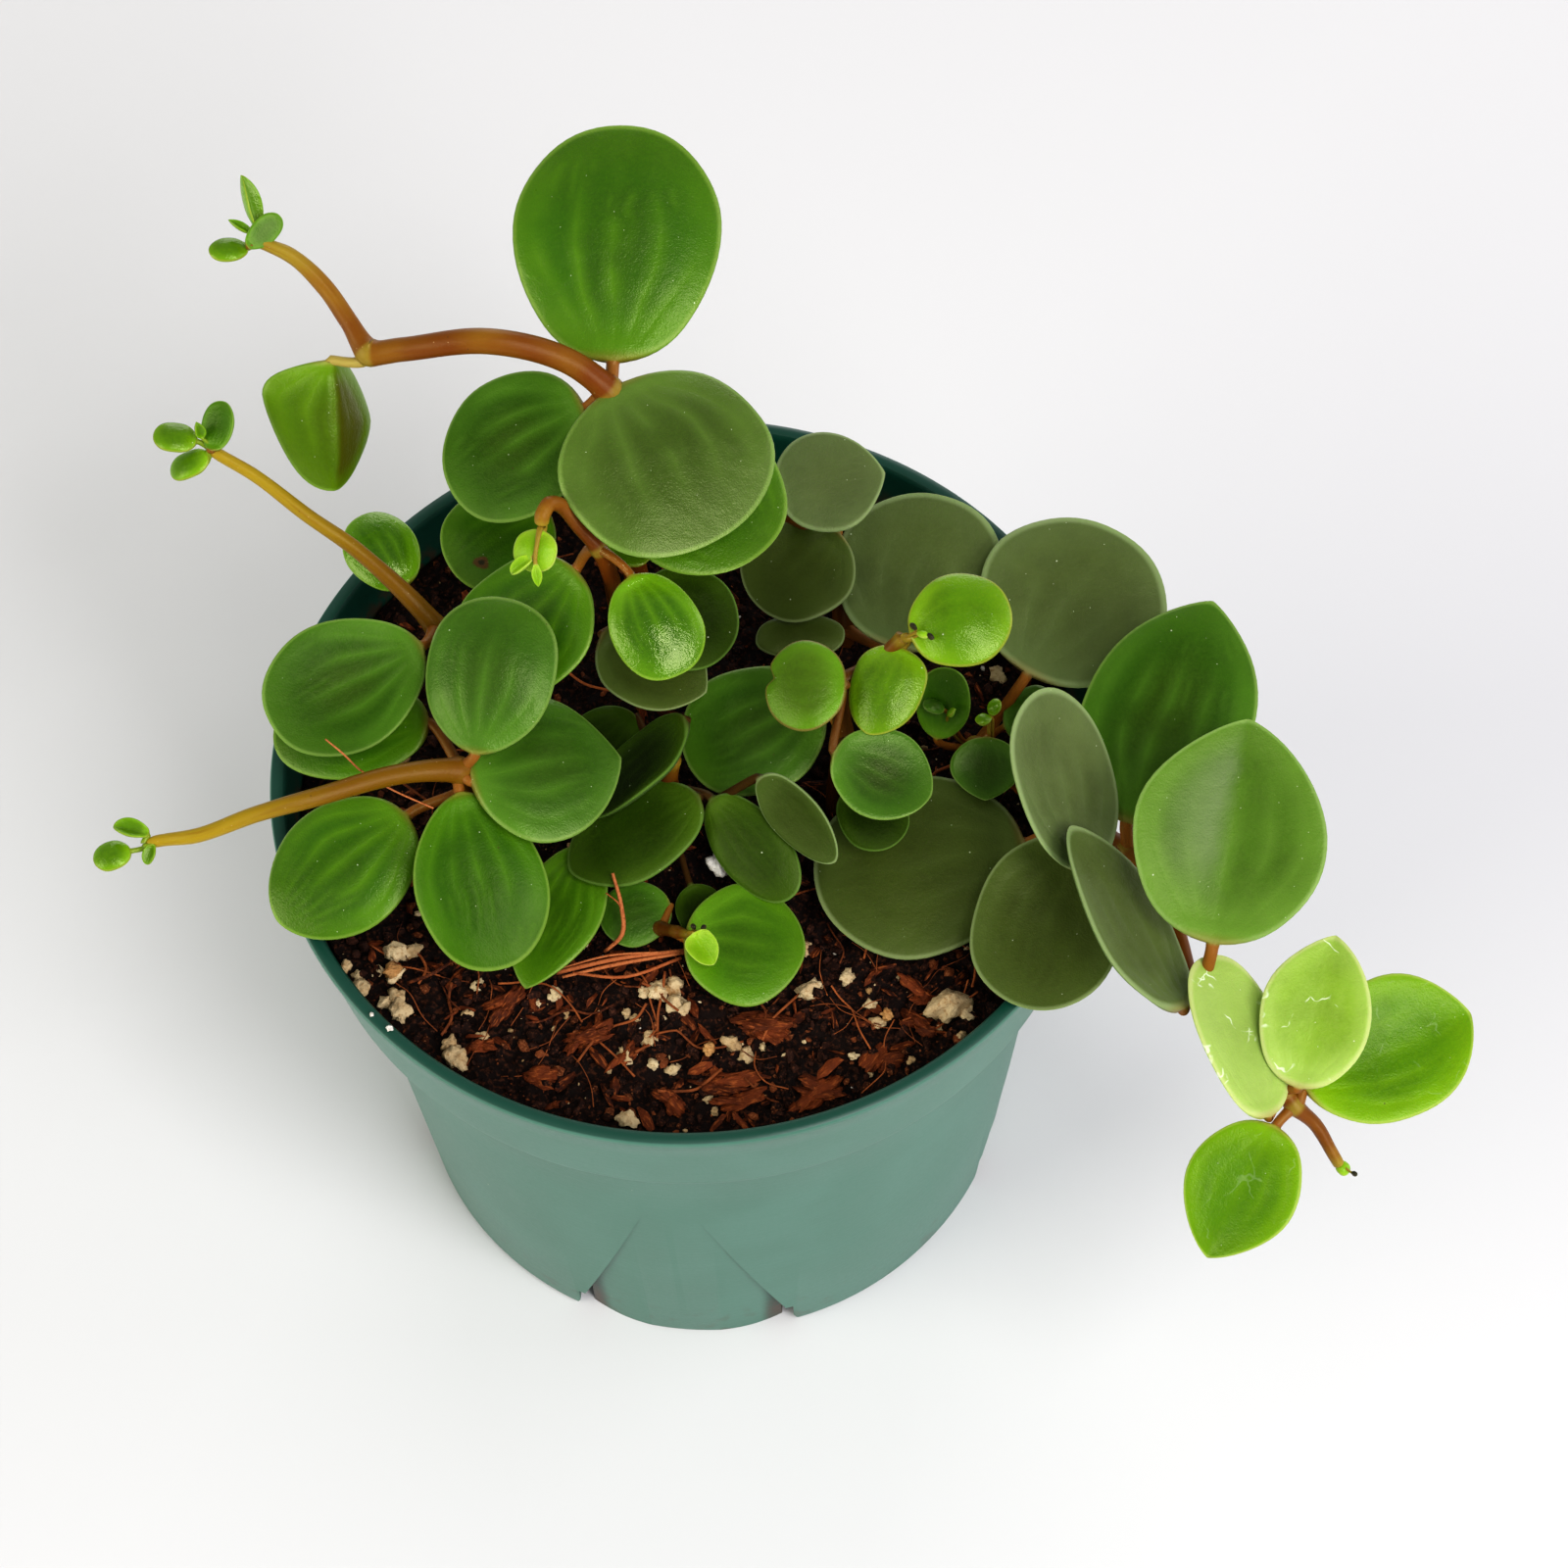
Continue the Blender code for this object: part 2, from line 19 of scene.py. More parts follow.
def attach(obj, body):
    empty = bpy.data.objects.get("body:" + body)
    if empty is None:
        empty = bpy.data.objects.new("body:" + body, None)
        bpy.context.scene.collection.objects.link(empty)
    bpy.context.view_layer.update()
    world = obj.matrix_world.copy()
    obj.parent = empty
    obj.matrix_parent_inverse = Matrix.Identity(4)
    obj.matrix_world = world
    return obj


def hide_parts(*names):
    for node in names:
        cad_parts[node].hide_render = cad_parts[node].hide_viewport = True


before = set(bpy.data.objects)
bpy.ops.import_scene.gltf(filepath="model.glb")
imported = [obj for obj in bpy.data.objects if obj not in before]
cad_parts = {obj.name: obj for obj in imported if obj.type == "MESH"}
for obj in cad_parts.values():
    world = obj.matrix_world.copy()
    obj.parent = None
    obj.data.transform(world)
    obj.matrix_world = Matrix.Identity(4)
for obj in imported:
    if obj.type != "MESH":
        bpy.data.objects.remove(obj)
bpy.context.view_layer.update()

MM = 0.001
LOG = logging.getLogger("peperomia")

Color = tuple[float, float, float]
Point = tuple[float, float, float]
Inputs = dict[str | int, object]


class Slot(Enum):
    """The record's finish slots."""

    MATURE = "mature_leaf"
    OLIVE = "olive_leaf"
    YOUNG = "young_leaf"
    PALE = "pale_leaf"
    STEM = "stem"
    SOIL = "potting_soil"
    POT = "pot_plastic"


class Shade:
    """A value that a material's nodes work out. Arithmetic on it adds Math nodes."""

    def __init__(self, graph: "Graph", socket: bpy.types.NodeSocket) -> None:
        """Wraps an output.

        Args:
            graph: The material's nodes.
            socket: The output that carries the value.
        """
        self.graph = graph
        self.socket = socket

    def math(self, operation: str, *others: "Shade | float") -> "Shade":
        """Adds a Math node.

        Args:
            operation: The node's operation.
            others: What the operation takes besides this value.

        Returns:
            The node's result.
        """
        return self.graph.add("ShaderNodeMath", {"operation": operation}, dict(enumerate((self, *others))))

    def __add__(self, other: "Shade | float") -> "Shade":
        """The sum."""
        return self.math("ADD", other)

    def __sub__(self, other: "Shade | float") -> "Shade":
        """The difference."""
        return self.math("SUBTRACT", other)

    def __rsub__(self, other: float) -> "Shade":
        """A number less this value."""
        return self.math("MULTIPLY", -1.0) + other

    def __mul__(self, other: "Shade | float") -> "Shade":
        """The product."""
        return self.math("MULTIPLY", other)

    def __truediv__(self, other: "Shade | float") -> "Shade":
        """The quotient."""
        return self.math("DIVIDE", other)

    def __pow__(self, power: float) -> "Shade":
        """The power."""
        return self.math("POWER", power)

    def __abs__(self) -> "Shade":
        """The size without its sign."""
        return self.math("ABSOLUTE")

    __radd__ = __add__
    __rmul__ = __mul__

    def rise(self, low: float, high: float) -> "Shade":
        """Turns the value into a smooth step.

        Args:
            low: Where the step leaves 0.
            high: Where it reaches 1.

        Returns:
            The step.
        """
        inputs = {"Value": self, "From Min": low, "From Max": high}
        return self.graph.add("ShaderNodeMapRange", {"interpolation_type": "SMOOTHSTEP"}, inputs)


class Graph:
    """A material's nodes, each wired as it is added."""

    def __init__(self, name: str) -> None:
        """Makes the material.

        Args:
            name: The material's name.
        """
        self.material = bpy.data.materials.new(name)
        self.material.use_nodes = True
        self.tree = self.material.node_tree
        self.shader = self.tree.nodes["Principled BSDF"]
        self.place = self.add("ShaderNodeTexCoord", output="Object")

    def add(
        self, kind: str, settings: dict[str, object] | None = None, inputs: Inputs | None = None,
        output: str | int = 0,
    ) -> Shade:
        """Adds a node.

        Args:
            kind: The node's type.
            settings: Its own settings, by name.
            inputs: What its sockets take, by name or index.
            output: The output to read.

        Returns:
            That output.
        """
        node = self.tree.nodes.new(kind)
        for name, value in (settings or {}).items():
            setattr(node, name, value)
        for name, value in (inputs or {}).items():
            self.feed(node.inputs[name], value)
        return Shade(self, node.outputs[output])

    def feed(self, socket: bpy.types.NodeSocket, value: object) -> None:
        """Links a socket to a value, or sets it.

        Args:
            socket: The input.
            value: A Shade, a number, a colour or a vector.
        """
        if isinstance(value, Shade):
            self.tree.links.new(value.socket, socket)
        elif socket.type == "RGBA":
            socket.default_value = (*value, 1.0)
        else:
            socket.default_value = value

    def mix(self, factor: Shade | float, first: "Shade | Color", second: "Shade | Color") -> Shade:
        """Mixes two colours.

        Args:
            factor: The share of the second.
            first: The colour at 0.
            second: The colour at 1.

        Returns:
            The mixed colour.
        """
        return self.add("ShaderNodeMix", {"data_type": "RGBA"}, {0: factor, 6: first, 7: second}, output=2)

    def attribute(self, name: str) -> Shade:
        """A number that the mesh holds for each of its points."""
        return self.add("ShaderNodeAttribute", {"attribute_name": name}, output="Fac")

    def axes(self, vector: Shade) -> tuple[Shade, ...]:
        """A vector's X, Y and Z."""
        split = self.add("ShaderNodeSeparateXYZ", inputs={0: vector})
        return tuple(Shade(self, output) for output in split.socket.node.outputs)

    def noise(self, size: float, detail: float = 2.0, place: Shade | None = None) -> Shade:
        """Soft noise around 0.5.

        Args:
            size: The size of its patches in mm.
            detail: How many finer layers it has.
            place: Where it is read, if not in the object's own coordinates.

        Returns:
            The noise.
        """
        inputs = {"Vector": place or self.place, "Scale": 1 / (size * MM), "Detail": detail}
        return self.add("ShaderNodeTexNoise", inputs=inputs)

    def specks(self, spacing: float, radius: float, share: float) -> Shade:
        """Small dots scattered one to a cell.

        Args:
            spacing: The cells' size in mm.
            radius: The dots' radius in mm.
            share: The share of cells that hold one.

        Returns:
            1 on a dot and 0 elsewhere.
        """
        inputs = {"Vector": self.place, "Scale": 1 / (spacing * MM)}
        near = self.add("ShaderNodeTexVoronoi", inputs=inputs)
        pick = self.add("ShaderNodeTexVoronoi", inputs=inputs, output="Color")
        chance = self.add("ShaderNodeSeparateColor", inputs={0: pick})
        edge = radius / spacing
        return (1 - near.rise(0.6 * edge, edge)) * chance.math("LESS_THAN", share)

    def bump(self, height: Shade, depth: float, strength: float, below: Shade | None = None) -> Shade:
        """Relief that only the shading shows.

        Args:
            height: The relief.
            depth: What a height of 1 stands for, in mm.
            strength: How much of it shows.
            below: A normal that it goes on top of.

        Returns:
            The normal.
        """
        inputs = {"Height": height, "Distance": depth * MM, "Strength": strength}
        if below:
            inputs["Normal"] = below
        return self.add("ShaderNodeBump", inputs=inputs)

    def finish(self, **sockets: object) -> bpy.types.Material:
        """Sets the shader's sockets.

        Args:
            sockets: Their values, with _ for each space in a name.

        Returns:
            The material.
        """
        for name, value in sockets.items():
            self.feed(self.shader.inputs[name.replace("_", " ")], value)
        return self.material


CORK = (0.075, 0.030, 0.008)
CORK_PIT = (0.008, 0.004, 0.002)
LEAF_DUST = (0.66, 0.72, 0.50)
LEAF_DIRT = (0.05, 0.03, 0.01)
TORN = (0.72, 0.80, 0.58)
STEM_DUST = (0.45, 0.30, 0.12)
STEM_DIRT = (0.06, 0.02, 0.008)
POT_DUST = (0.5, 0.5, 0.4)


@dataclass(frozen=True)
class LeafFinish:
    """A leaf's skin: fleshy, waxy and veined from its base.

    The shade is its second tone, which shows in its heart and towards its tip. A painted half takes it
    as painted light: as shade on a half turned away from the light, or as a pale sheen. Painted half says
    how strongly one half takes it, and its sign says which half. With a streak, only a band beside the
    midrib does, as a painted highlight. A wound is a corky spot, by its place across and along and its
    size. Veins, dust, scars, margin, bumps, mottling, heart and fading say how strongly each one shows.
    """

    name: str
    slot: Slot
    flesh: Color
    vein: Color
    rim: Color
    under: Color
    stalk: Color
    roughness: float = 0.34
    veins: float = 0.72
    dust: float = 0.25
    scars: float = 0.0
    gloss: float = 0.3
    margin: float = 0.8
    bumps: float = 0.35
    painted_half: float = 0.0
    shade: Color = (0.028, 0.058, 0.002)
    # How far in the rim tone reaches; wide rims stand partly for painted highlight on rounded edges.
    rim_width: float = 0.055
    mottling: float = 0.6
    wound: Point | None = None
    heart: float = 0.35
    fading: float = 0.25
    streak: bool = False

    def material(self) -> bpy.types.Material:
        """Builds the skin on the leaf's own map: its first value runs across and its second along.

        Returns:
            The material.
        """
        g = Graph(self.name)
        across, along, _ = g.axes(g.add("ShaderNodeUVMap", {"uv_map": LEAF_MAP}))
        side, tint, veined = (g.attribute(name) for name in (SIDE, TINT, VEINED))

        level = along * 2 - 1
        width = (1 - level * level).math("MAXIMUM", 0.0).math("SQRT")
        reach = (across * across * width * width + level * level).math("SQRT")
        fan = across / (along.rise(-0.1, 0.5) * 0.5 + 0.5)
        wander = (g.noise(10.0, 1.0) - 0.5) * 0.24
        gap = width * 0.85 + 0.15
        to_vein = abs(fan + wander).math("PINGPONG", 0.2) * gap
        to_fork = abs(fan + wander * 2.2 + 0.07).math("PINGPONG", 0.11) * gap
        fade = (1 - along.rise(0.4, 0.92)) * (1 - reach.rise(0.7, 1.0)) * g.noise(7.0, 1.0).rise(0.2, 0.6)
        fade = fade * (1 - abs(fan).rise(0.8, 1.05)) * veined
        vein = ((1 - to_vein.rise(0.0, 0.05)) * 0.25 + (1 - to_vein.rise(0.0, 0.17)) * 0.75) * fade
        fork = (1 - to_fork.rise(0.0, 0.08)) * along.rise(0.3, 0.6)
        fork = fork * (1 - along.rise(0.75, 1.0)) * veined * 0.4
        vein = vein.math("MAXIMUM", fork * g.noise(5.0, 1.0).rise(0.45, 0.65))
        edge = reach.rise(0.5, 1.02)
        base = 1 - along.rise(0.0, 0.42)
        mottle = g.noise(5.0, 3.0).rise(0.35, 0.7)
        grain = g.noise(0.45, 3.0)

        skin = g.mix(mottle * self.mottling, self.flesh, tuple(0.6 * c for c in self.flesh))
        skin = g.mix((1 - reach.rise(0.1, 0.8)) * self.heart, skin, self.shade)
        glow = (edge + base * 0.6) * (0.25 + g.noise(7.0, 2.0) * 1.1)
        skin = g.mix(glow * self.margin, skin, self.vein)
        skin = g.mix(along.rise(0.5, 1.0) * self.fading, skin, self.shade)
        skin = g.mix(vein * self.veins, skin, self.vein)
        skin = g.mix((grain - 0.35) * 0.35, skin, self.vein)
        skin = g.mix(tint * 0.3, skin, tuple(0.65 * c for c in self.flesh))
        # The rim tone is partly the leaf's own pale or reddish margin and partly painted highlight where its
        # rounded edge catches the light.
        skin = g.mix(reach.rise(1 - self.rim_width, 1 - 0.3 * self.rim_width) * 0.8, skin, self.rim)
        # Painted light: one half takes the shade tone, as shade on a half turned from the light or, with a
        # streak, as a pale band of sheen by the midrib.
        if self.painted_half:
            half = (across * math.copysign(1.0, self.painted_half) + (mottle - 0.5) * 0.1).rise(-0.08, 0.2)
            if self.streak:
                half = half * (1 - abs(across).rise(0.1, 0.9)) * along.rise(0.1, 0.5)
                half = half * (1 - along.rise(0.7, 1.0) * 0.6)
            skin = g.mix(half * abs(self.painted_half) * (1 - reach.rise(0.6, 0.97) * 0.8), skin, self.shade)
        skin = g.mix((0.0 - side).rise(-0.15, 0.3), skin, self.under)
        if self.wound:
            middle, place, size = self.wound
            aside, ahead = (across - middle) * 6, (along - place) * 14.5
            spot = (aside * aside + ahead * ahead).math("SQRT") + (g.noise(1.2, 2.0) - 0.5) * 0.9
            skin = g.mix(1 - spot.rise(0.75 * size, 1.1 * size), skin, CORK)
            skin = g.mix(1 - spot.rise(0.3 * size, 0.5 * size), skin, CORK_PIT)
        stalk = (0.0 - along).rise(-0.06, 0.06)
        skin = g.mix(stalk, skin, self.stalk)
        dots = g.specks(2.6, 0.12, self.dust).math("MAXIMUM", g.specks(1.1, 0.07, self.dust))
        skin = g.mix(dots * (1 - stalk) * 0.75, skin, LEAF_DUST)
        skin = g.mix(g.specks(3.4, 0.13, self.dust * 0.7) * (1 - stalk) * 0.8, skin, LEAF_DIRT)
        if self.scars:
            drift = g.add("ShaderNodeTexNoise", inputs={"Vector": g.place, "Scale": 300.0}, output="Color")
            bent = g.add("ShaderNodeVectorMath", {"operation": "MULTIPLY_ADD"}, {
                0: drift, 1: (0.004, 0.004, 0.004), 2: g.place})
            lines = g.add("ShaderNodeTexVoronoi", {"feature": "DISTANCE_TO_EDGE"}, {
                "Vector": bent, "Scale": 190.0})
            torn = (1 - lines.rise(0.004, 0.025)) * g.noise(3.5, 2.0).rise(0.56, 0.64) * (1 - stalk)
            skin = g.mix(torn * self.scars, skin, TORN)

        sheen = self.roughness + (g.noise(2.5, 3.0) - 0.5) * 0.2 + stalk * 0.06
        relief = grain * 0.5 + g.noise(0.22, 1.0) * 0.5 - vein * 0.7
        normal = g.bump(relief, 0.12, 0.7, g.bump(g.noise(4.0, 2.0), 0.6, self.bumps))
        return g.finish(
            Base_Color=skin, Roughness=sheen, Normal=normal, Specular_IOR_Level=self.gloss,
            Specular_Tint=(0.92, 1.0, 0.52), Subsurface_Weight=0.12, Subsurface_Radius=(0.5, 1.0, 0.2),
            Subsurface_Scale=1.2 * MM)


LEAF_MAP = "leaf"
SIDE = "side"
TINT = "tint"
VEINED = "veined"

STALK = (0.23, 0.080, 0.010)
FRESH_STALK = (0.26, 0.17, 0.018)
BRIGHT = LeafFinish(
    "bright_leaf", Slot.MATURE, (0.031, 0.116, 0.002), (0.102, 0.245, 0.006), (0.15, 0.26, 0.03),
    (0.08, 0.17, 0.03), STALK, roughness=0.32, gloss=0.42, fading=0.45)
DEEP = LeafFinish(
    "deep_leaf", Slot.MATURE, (0.032, 0.100, 0.005), (0.088, 0.212, 0.015), (0.16, 0.26, 0.05),
    (0.08, 0.15, 0.03), STALK, roughness=0.35, veins=0.6, gloss=0.38, heart=0.5)
SATIN = replace(
    DEEP, name="satin_leaf", flesh=(0.052, 0.096, 0.010), vein=(0.115, 0.205, 0.028), gloss=0.5, veins=0.6)
CALM = replace(DEEP, name="calm_leaf", flesh=(0.022, 0.078, 0.002), roughness=0.44, gloss=0.2, heart=0.7)
CLOUDED = replace(
    DEEP, name="clouded_leaf", shade=(0.022, 0.030, 0.006), stalk=(0.11, 0.036, 0.006), heart=0.85,
    margin=0.9)
# Painted shade: a darkened copy of the leaf skin, its stalk darkened too, for leaves in the shade of others.
SHADE_PAINTED = LeafFinish(
    "shade_painted_leaf", Slot.MATURE, (0.014, 0.032, 0.001), (0.045, 0.092, 0.004), (0.10, 0.18, 0.03),
    (0.05, 0.09, 0.02), (0.05, 0.022, 0.005), roughness=0.45, veins=0.3, gloss=0.08,
    shade=(0.005, 0.009, 0.001))
# Painted shade: a less dark copy, stalk darkened too, for the shaded leaves in the middle of the plant.
SHADED = replace(
    SHADE_PAINTED, name="shaded_leaf", flesh=(0.024, 0.056, 0.002), vein=(0.062, 0.125, 0.006), gloss=0.2,
    shade=(0.014, 0.030, 0.001))
OLIVE = LeafFinish(
    "olive_leaf", Slot.OLIVE, (0.049, 0.072, 0.009), (0.088, 0.130, 0.026), (0.18, 0.23, 0.09),
    (0.09, 0.13, 0.04), STALK, roughness=0.44, veins=0.25, margin=0.6, shade=(0.029, 0.041, 0.006))
SAGE = LeafFinish(
    "sage_leaf", Slot.OLIVE, (0.078, 0.108, 0.028), (0.120, 0.168, 0.055), (0.22, 0.29, 0.12),
    (0.10, 0.15, 0.05), STALK, roughness=0.44, veins=0.25, margin=0.65, shade=(0.050, 0.070, 0.014),
    rim_width=0.09)
# A paler copy of the sage skin for a flat back leaf: partly its waxy bloom, partly painted reflection.
BLOOM_AND_SHEEN = replace(SAGE, name="bloom_and_sheen_leaf", flesh=(0.105, 0.142, 0.046), shade=(0.072, 0.095, 0.024))
MOSS = replace(SAGE, name="moss_leaf", flesh=(0.066, 0.098, 0.012), vein=(0.115, 0.165, 0.045))
# Painted shade: a darker copy of the moss skin, with a dark stalk, for a leaf among the shaded middle leaves.
LEAN = replace(
    MOSS, name="lean_leaf", flesh=(0.046, 0.074, 0.010), vein=(0.088, 0.135, 0.028),
    shade=(0.030, 0.048, 0.006), stalk=(0.05, 0.022, 0.005), rim_width=0.06, gloss=0.12)
GRASS = LeafFinish(
    "grass_leaf", Slot.MATURE, (0.050, 0.150, 0.003), (0.125, 0.285, 0.010), (0.17, 0.28, 0.04),
    (0.10, 0.20, 0.03), STALK, roughness=0.3)
MEADOW = replace(
    GRASS, name="meadow_leaf", flesh=(0.027, 0.102, 0.002), vein=(0.086, 0.222, 0.006), roughness=0.4,
    gloss=0.2)
RUSTY = replace(
    GRASS, name="rusty_leaf", flesh=(0.072, 0.142, 0.008), rim=(0.17, 0.11, 0.03), stalk=(0.11, 0.036, 0.006),
    veins=0.3)
YOUNG = LeafFinish(
    "young_leaf", Slot.YOUNG, (0.090, 0.215, 0.002), (0.210, 0.395, 0.008), (0.25, 0.28, 0.03),
    (0.18, 0.34, 0.03), FRESH_STALK, roughness=0.24, veins=0.4, gloss=0.45, shade=(0.06, 0.15, 0.001),
    mottling=1.0)
SPRIG = replace(YOUNG, name="sprig_leaf", flesh=(0.078, 0.175, 0.004), margin=0.65)
SPROUT = replace(YOUNG, name="sprout_leaf", stalk=(0.17, 0.24, 0.01))
GLOSSY = LeafFinish(
    "glossy_leaf", Slot.YOUNG, (0.038, 0.125, 0.001), (0.150, 0.330, 0.008), (0.20, 0.34, 0.03),
    (0.12, 0.26, 0.02), STALK, roughness=0.12, gloss=0.6, bumps=0.3, shade=(0.024, 0.080, 0.001))
PALE = LeafFinish(
    "pale_leaf", Slot.PALE, (0.235, 0.395, 0.030), (0.400, 0.560, 0.120), (0.46, 0.52, 0.19),
    (0.34, 0.48, 0.15), STALK, roughness=0.4, veins=0.2, scars=0.75, shade=(0.19, 0.31, 0.03),
    rim_width=0.1)
MILKY = replace(PALE, name="milky_leaf", flesh=(0.330, 0.470, 0.100), shade=(0.23, 0.36, 0.045))
LIME = LeafFinish(
    "lime_leaf", Slot.PALE, (0.082, 0.215, 0.001), (0.210, 0.400, 0.005), (0.30, 0.40, 0.06),
    (0.26, 0.42, 0.05), STALK, roughness=0.33, veins=0.35, scars=0.08, shade=(0.055, 0.150, 0.001))
# One half, the one turned away from the light, takes the shade tone: painted shade.
BENT = LeafFinish(
    "bent_leaf", Slot.MATURE, (0.064, 0.145, 0.001), (0.140, 0.280, 0.005), (0.16, 0.27, 0.03),
    (0.10, 0.17, 0.02), (0.36, 0.27, 0.06), painted_half=-0.9, shade=(0.060, 0.060, 0.002))
# A pale band beside the midrib on one half stands for the sheen that half catches: painted highlight.
HALVED = LeafFinish(
    "halved_leaf", Slot.MATURE, (0.062, 0.140, 0.009), (0.135, 0.260, 0.030), (0.20, 0.31, 0.08),
    (0.09, 0.15, 0.04), STALK, roughness=0.4, veins=0.4, painted_half=-0.85, shade=(0.130, 0.190, 0.072),
    heart=0.0, fading=0.0, streak=True)
SCARRED = replace(BRIGHT, name="scarred_leaf", wound=(-0.28, 0.75, 0.95))
TENDER = LeafFinish(
    "tender_leaf", Slot.YOUNG, (0.20, 0.40, 0.006), (0.34, 0.53, 0.03), (0.42, 0.52, 0.10),
    (0.34, 0.50, 0.06), FRESH_STALK, roughness=0.33, veins=0.3, dust=0.1, shade=(0.18, 0.36, 0.003))
BUD = LeafFinish(
    "bud_tip", Slot.STEM, (0.012, 0.008, 0.006), (0.05, 0.04, 0.02), (0.06, 0.05, 0.03),
    (0.05, 0.04, 0.02), FRESH_STALK, roughness=0.5, dust=0.0, shade=(0.01, 0.007, 0.005))


@dataclass(frozen=True)
class Outline:
    """Leaf outline: where along it is widest, and how blunt its base and its tip are.

    An end's bow says how square its shoulders are, and its nib how round its very end is: 2 and 2 make
    a half circle, and a nib near 1 makes a corner.
    """

    widest: float = 0.5
    base_bow: float = 2.0
    base_nib: float = 2.0
    tip_bow: float = 2.0
    tip_nib: float = 2.0

    def half_width(self, level: float) -> float:
        """The half width as a share of the widest, at a level from -1 at the base to 1 at the tip."""
        bow, nib = (self.tip_bow, self.tip_nib) if level > 0 else (self.base_bow, self.base_nib)
        return max(1 - abs(level) ** bow, 0.0) ** (1 / nib)

    def along(self, level: float) -> float:
        """The share of the length that a level stands at."""
        return self.widest + level * (1 - self.widest if level > 0 else self.widest)


@dataclass(frozen=True)
class Form:
    """Leaf form, as shares of its half width: rim raised, tip dropped, halves folded up, rim waved."""

    cup: float
    droop: float
    fold: float
    wave: float = 0.035


ROUND = Outline(0.52, 2.1, 2.1, 2.1, 2.1)
BLUNT = Outline(0.56, 2.1, 2.1, 2.2, 2.1)
TAPERED = Outline(0.43, 1.7, 1.7, 1.4, 2.2)
PEAKED = Outline(0.54, 2.0, 1.9, 2.0, 1.3)
WIDE = Outline(0.50, 2.2, 2.1, 2.3, 2.2)
OVAL = Outline(0.54, 1.9, 1.75, 2.1, 2.2)
OVATE = Outline(0.46, 2.1, 2.0, 1.9, 1.6)
POINTED = Outline(0.48, 2.2, 2.0, 2.0, 1.25)
NIBBED = Outline(0.50, 2.1, 2.0, 2.2, 1.6)
SLENDER = Outline(0.45, 2.0, 1.6, 1.8, 1.2)
CHUNKY = Outline(0.56, 2.4, 1.9, 2.4, 2.3)
HEART = Outline(0.44, 2.6, 2.4, 1.9, 1.7)

FLAT = Form(0.0, 0.05, 0.0)
CUPPED = Form(0.20, 0.0, 0.0)
CROWNED = Form(-0.10, 0.08, 0.0)
DOMED = Form(-0.20, 0.10, 0.0)
ARCHED = Form(-0.08, 0.30, 0.0)
KEELED = Form(0.05, 0.12, 0.20)
FOLDED = Form(0.0, 0.20, -0.8)
HOLLOW = Form(0.3, 0.2, 0.6)


@dataclass(frozen=True)
class Leaf:
    """A leaf by the stem point that it grows from, its blade's base in mm, its heading, pitch and roll
    in degrees, and its length and width in mm. A bite is a notch in its rim, by its angle in degrees
    from the tip. The lean is how far its right half slides towards its tip, as a share."""

    node: int
    base: Point
    turn: Point
    size: tuple[float, float]
    outline: Outline = ROUND
    form: Form = FLAT
    finish: LeafFinish | None = None
    bite: float | None = None
    lean: float = 0.0


@dataclass(frozen=True)
class StemFinish:
    """A stem's skin: brown, greener towards its tip, ringed at its joints."""

    name: str
    old: Color
    ripe: Color
    fresh: Color
    joint: Color
    roughness: float = 0.38

    def material(self) -> bpy.types.Material:
        """Builds the skin on the stem's own map: around in whole turns, and along in centimetres.

        Returns:
            The material.
        """
        g = Graph(self.name)
        stem_map = g.add("ShaderNodeUVMap", {"uv_map": STEM_MAP})
        streaks = g.add("ShaderNodeMapping", inputs={"Vector": stem_map, "Scale": (9.0, 1.2, 1.0)})
        streak = g.add("ShaderNodeTexNoise", inputs={"Vector": streaks, "Scale": 1.0, "Detail": 3.0})
        age, ring = g.attribute(FRESH), g.attribute(RING)
        turned = g.noise(9.0, 2.0)
        skin = g.mix((age + (turned - 0.4) * 0.9).rise(-0.1, 0.4), self.old, self.ripe)
        skin = g.mix((age + (streak - 0.5) * 0.35).rise(0.45, 1.0), skin, self.fresh)
        skin = g.mix(ring.rise(0.35, 0.9) * 0.6, skin, self.joint)
        skin = g.mix(streak.rise(0.5, 0.75) * 0.4, skin, self.old)
        skin = g.mix(g.specks(0.9, 0.1, 0.3) * 0.6, skin, STEM_DUST)
        skin = g.mix(g.specks(1.3, 0.12, 0.25) * 0.7, skin, STEM_DIRT)
        relief = streak * 0.7 + g.noise(0.3, 2.0) * 0.5
        return g.finish(
            Base_Color=skin, Roughness=self.roughness + (streak - 0.5) * 0.2,
            Normal=g.bump(relief, 0.12, 0.6), Specular_IOR_Level=0.22,
            Specular_Tint=(1.0, 0.85, 0.6), Subsurface_Weight=0.1,
            Subsurface_Radius=(1.0, 0.4, 0.1), Subsurface_Scale=0.8 * MM)


STEM_MAP = "stem"
FRESH = "fresh"
RING = "ring"

ORANGE_BARK = StemFinish(
    "orange_stem", (0.15, 0.036, 0.003), (0.24, 0.108, 0.009), (0.30, 0.21, 0.02), (0.30, 0.24, 0.03))
OLIVE_BARK = StemFinish(
    "olive_stem", (0.15, 0.043, 0.003), (0.165, 0.075, 0.002), (0.33, 0.225, 0.012), (0.20, 0.10, 0.008))
BROWN_BARK = StemFinish(
    "brown_stem", (0.075, 0.022, 0.002), (0.13, 0.050, 0.004), (0.20, 0.14, 0.010), (0.14, 0.07, 0.008))


@dataclass(frozen=True)
class Shoot:
    """A stem as (x, y, z, radius) points in mm, its leaves, the small growth that has no solid, how far
    in mm its colour ripens back from its tip, and its skin."""

    name: str
    finish: LeafFinish
    points: tuple[tuple[float, float, float, float], ...]
    leaves: tuple[Leaf, ...]
    growth: tuple[Leaf, ...] = ()
    ripening: float = 4.0
    bark: StemFinish = BROWN_BARK


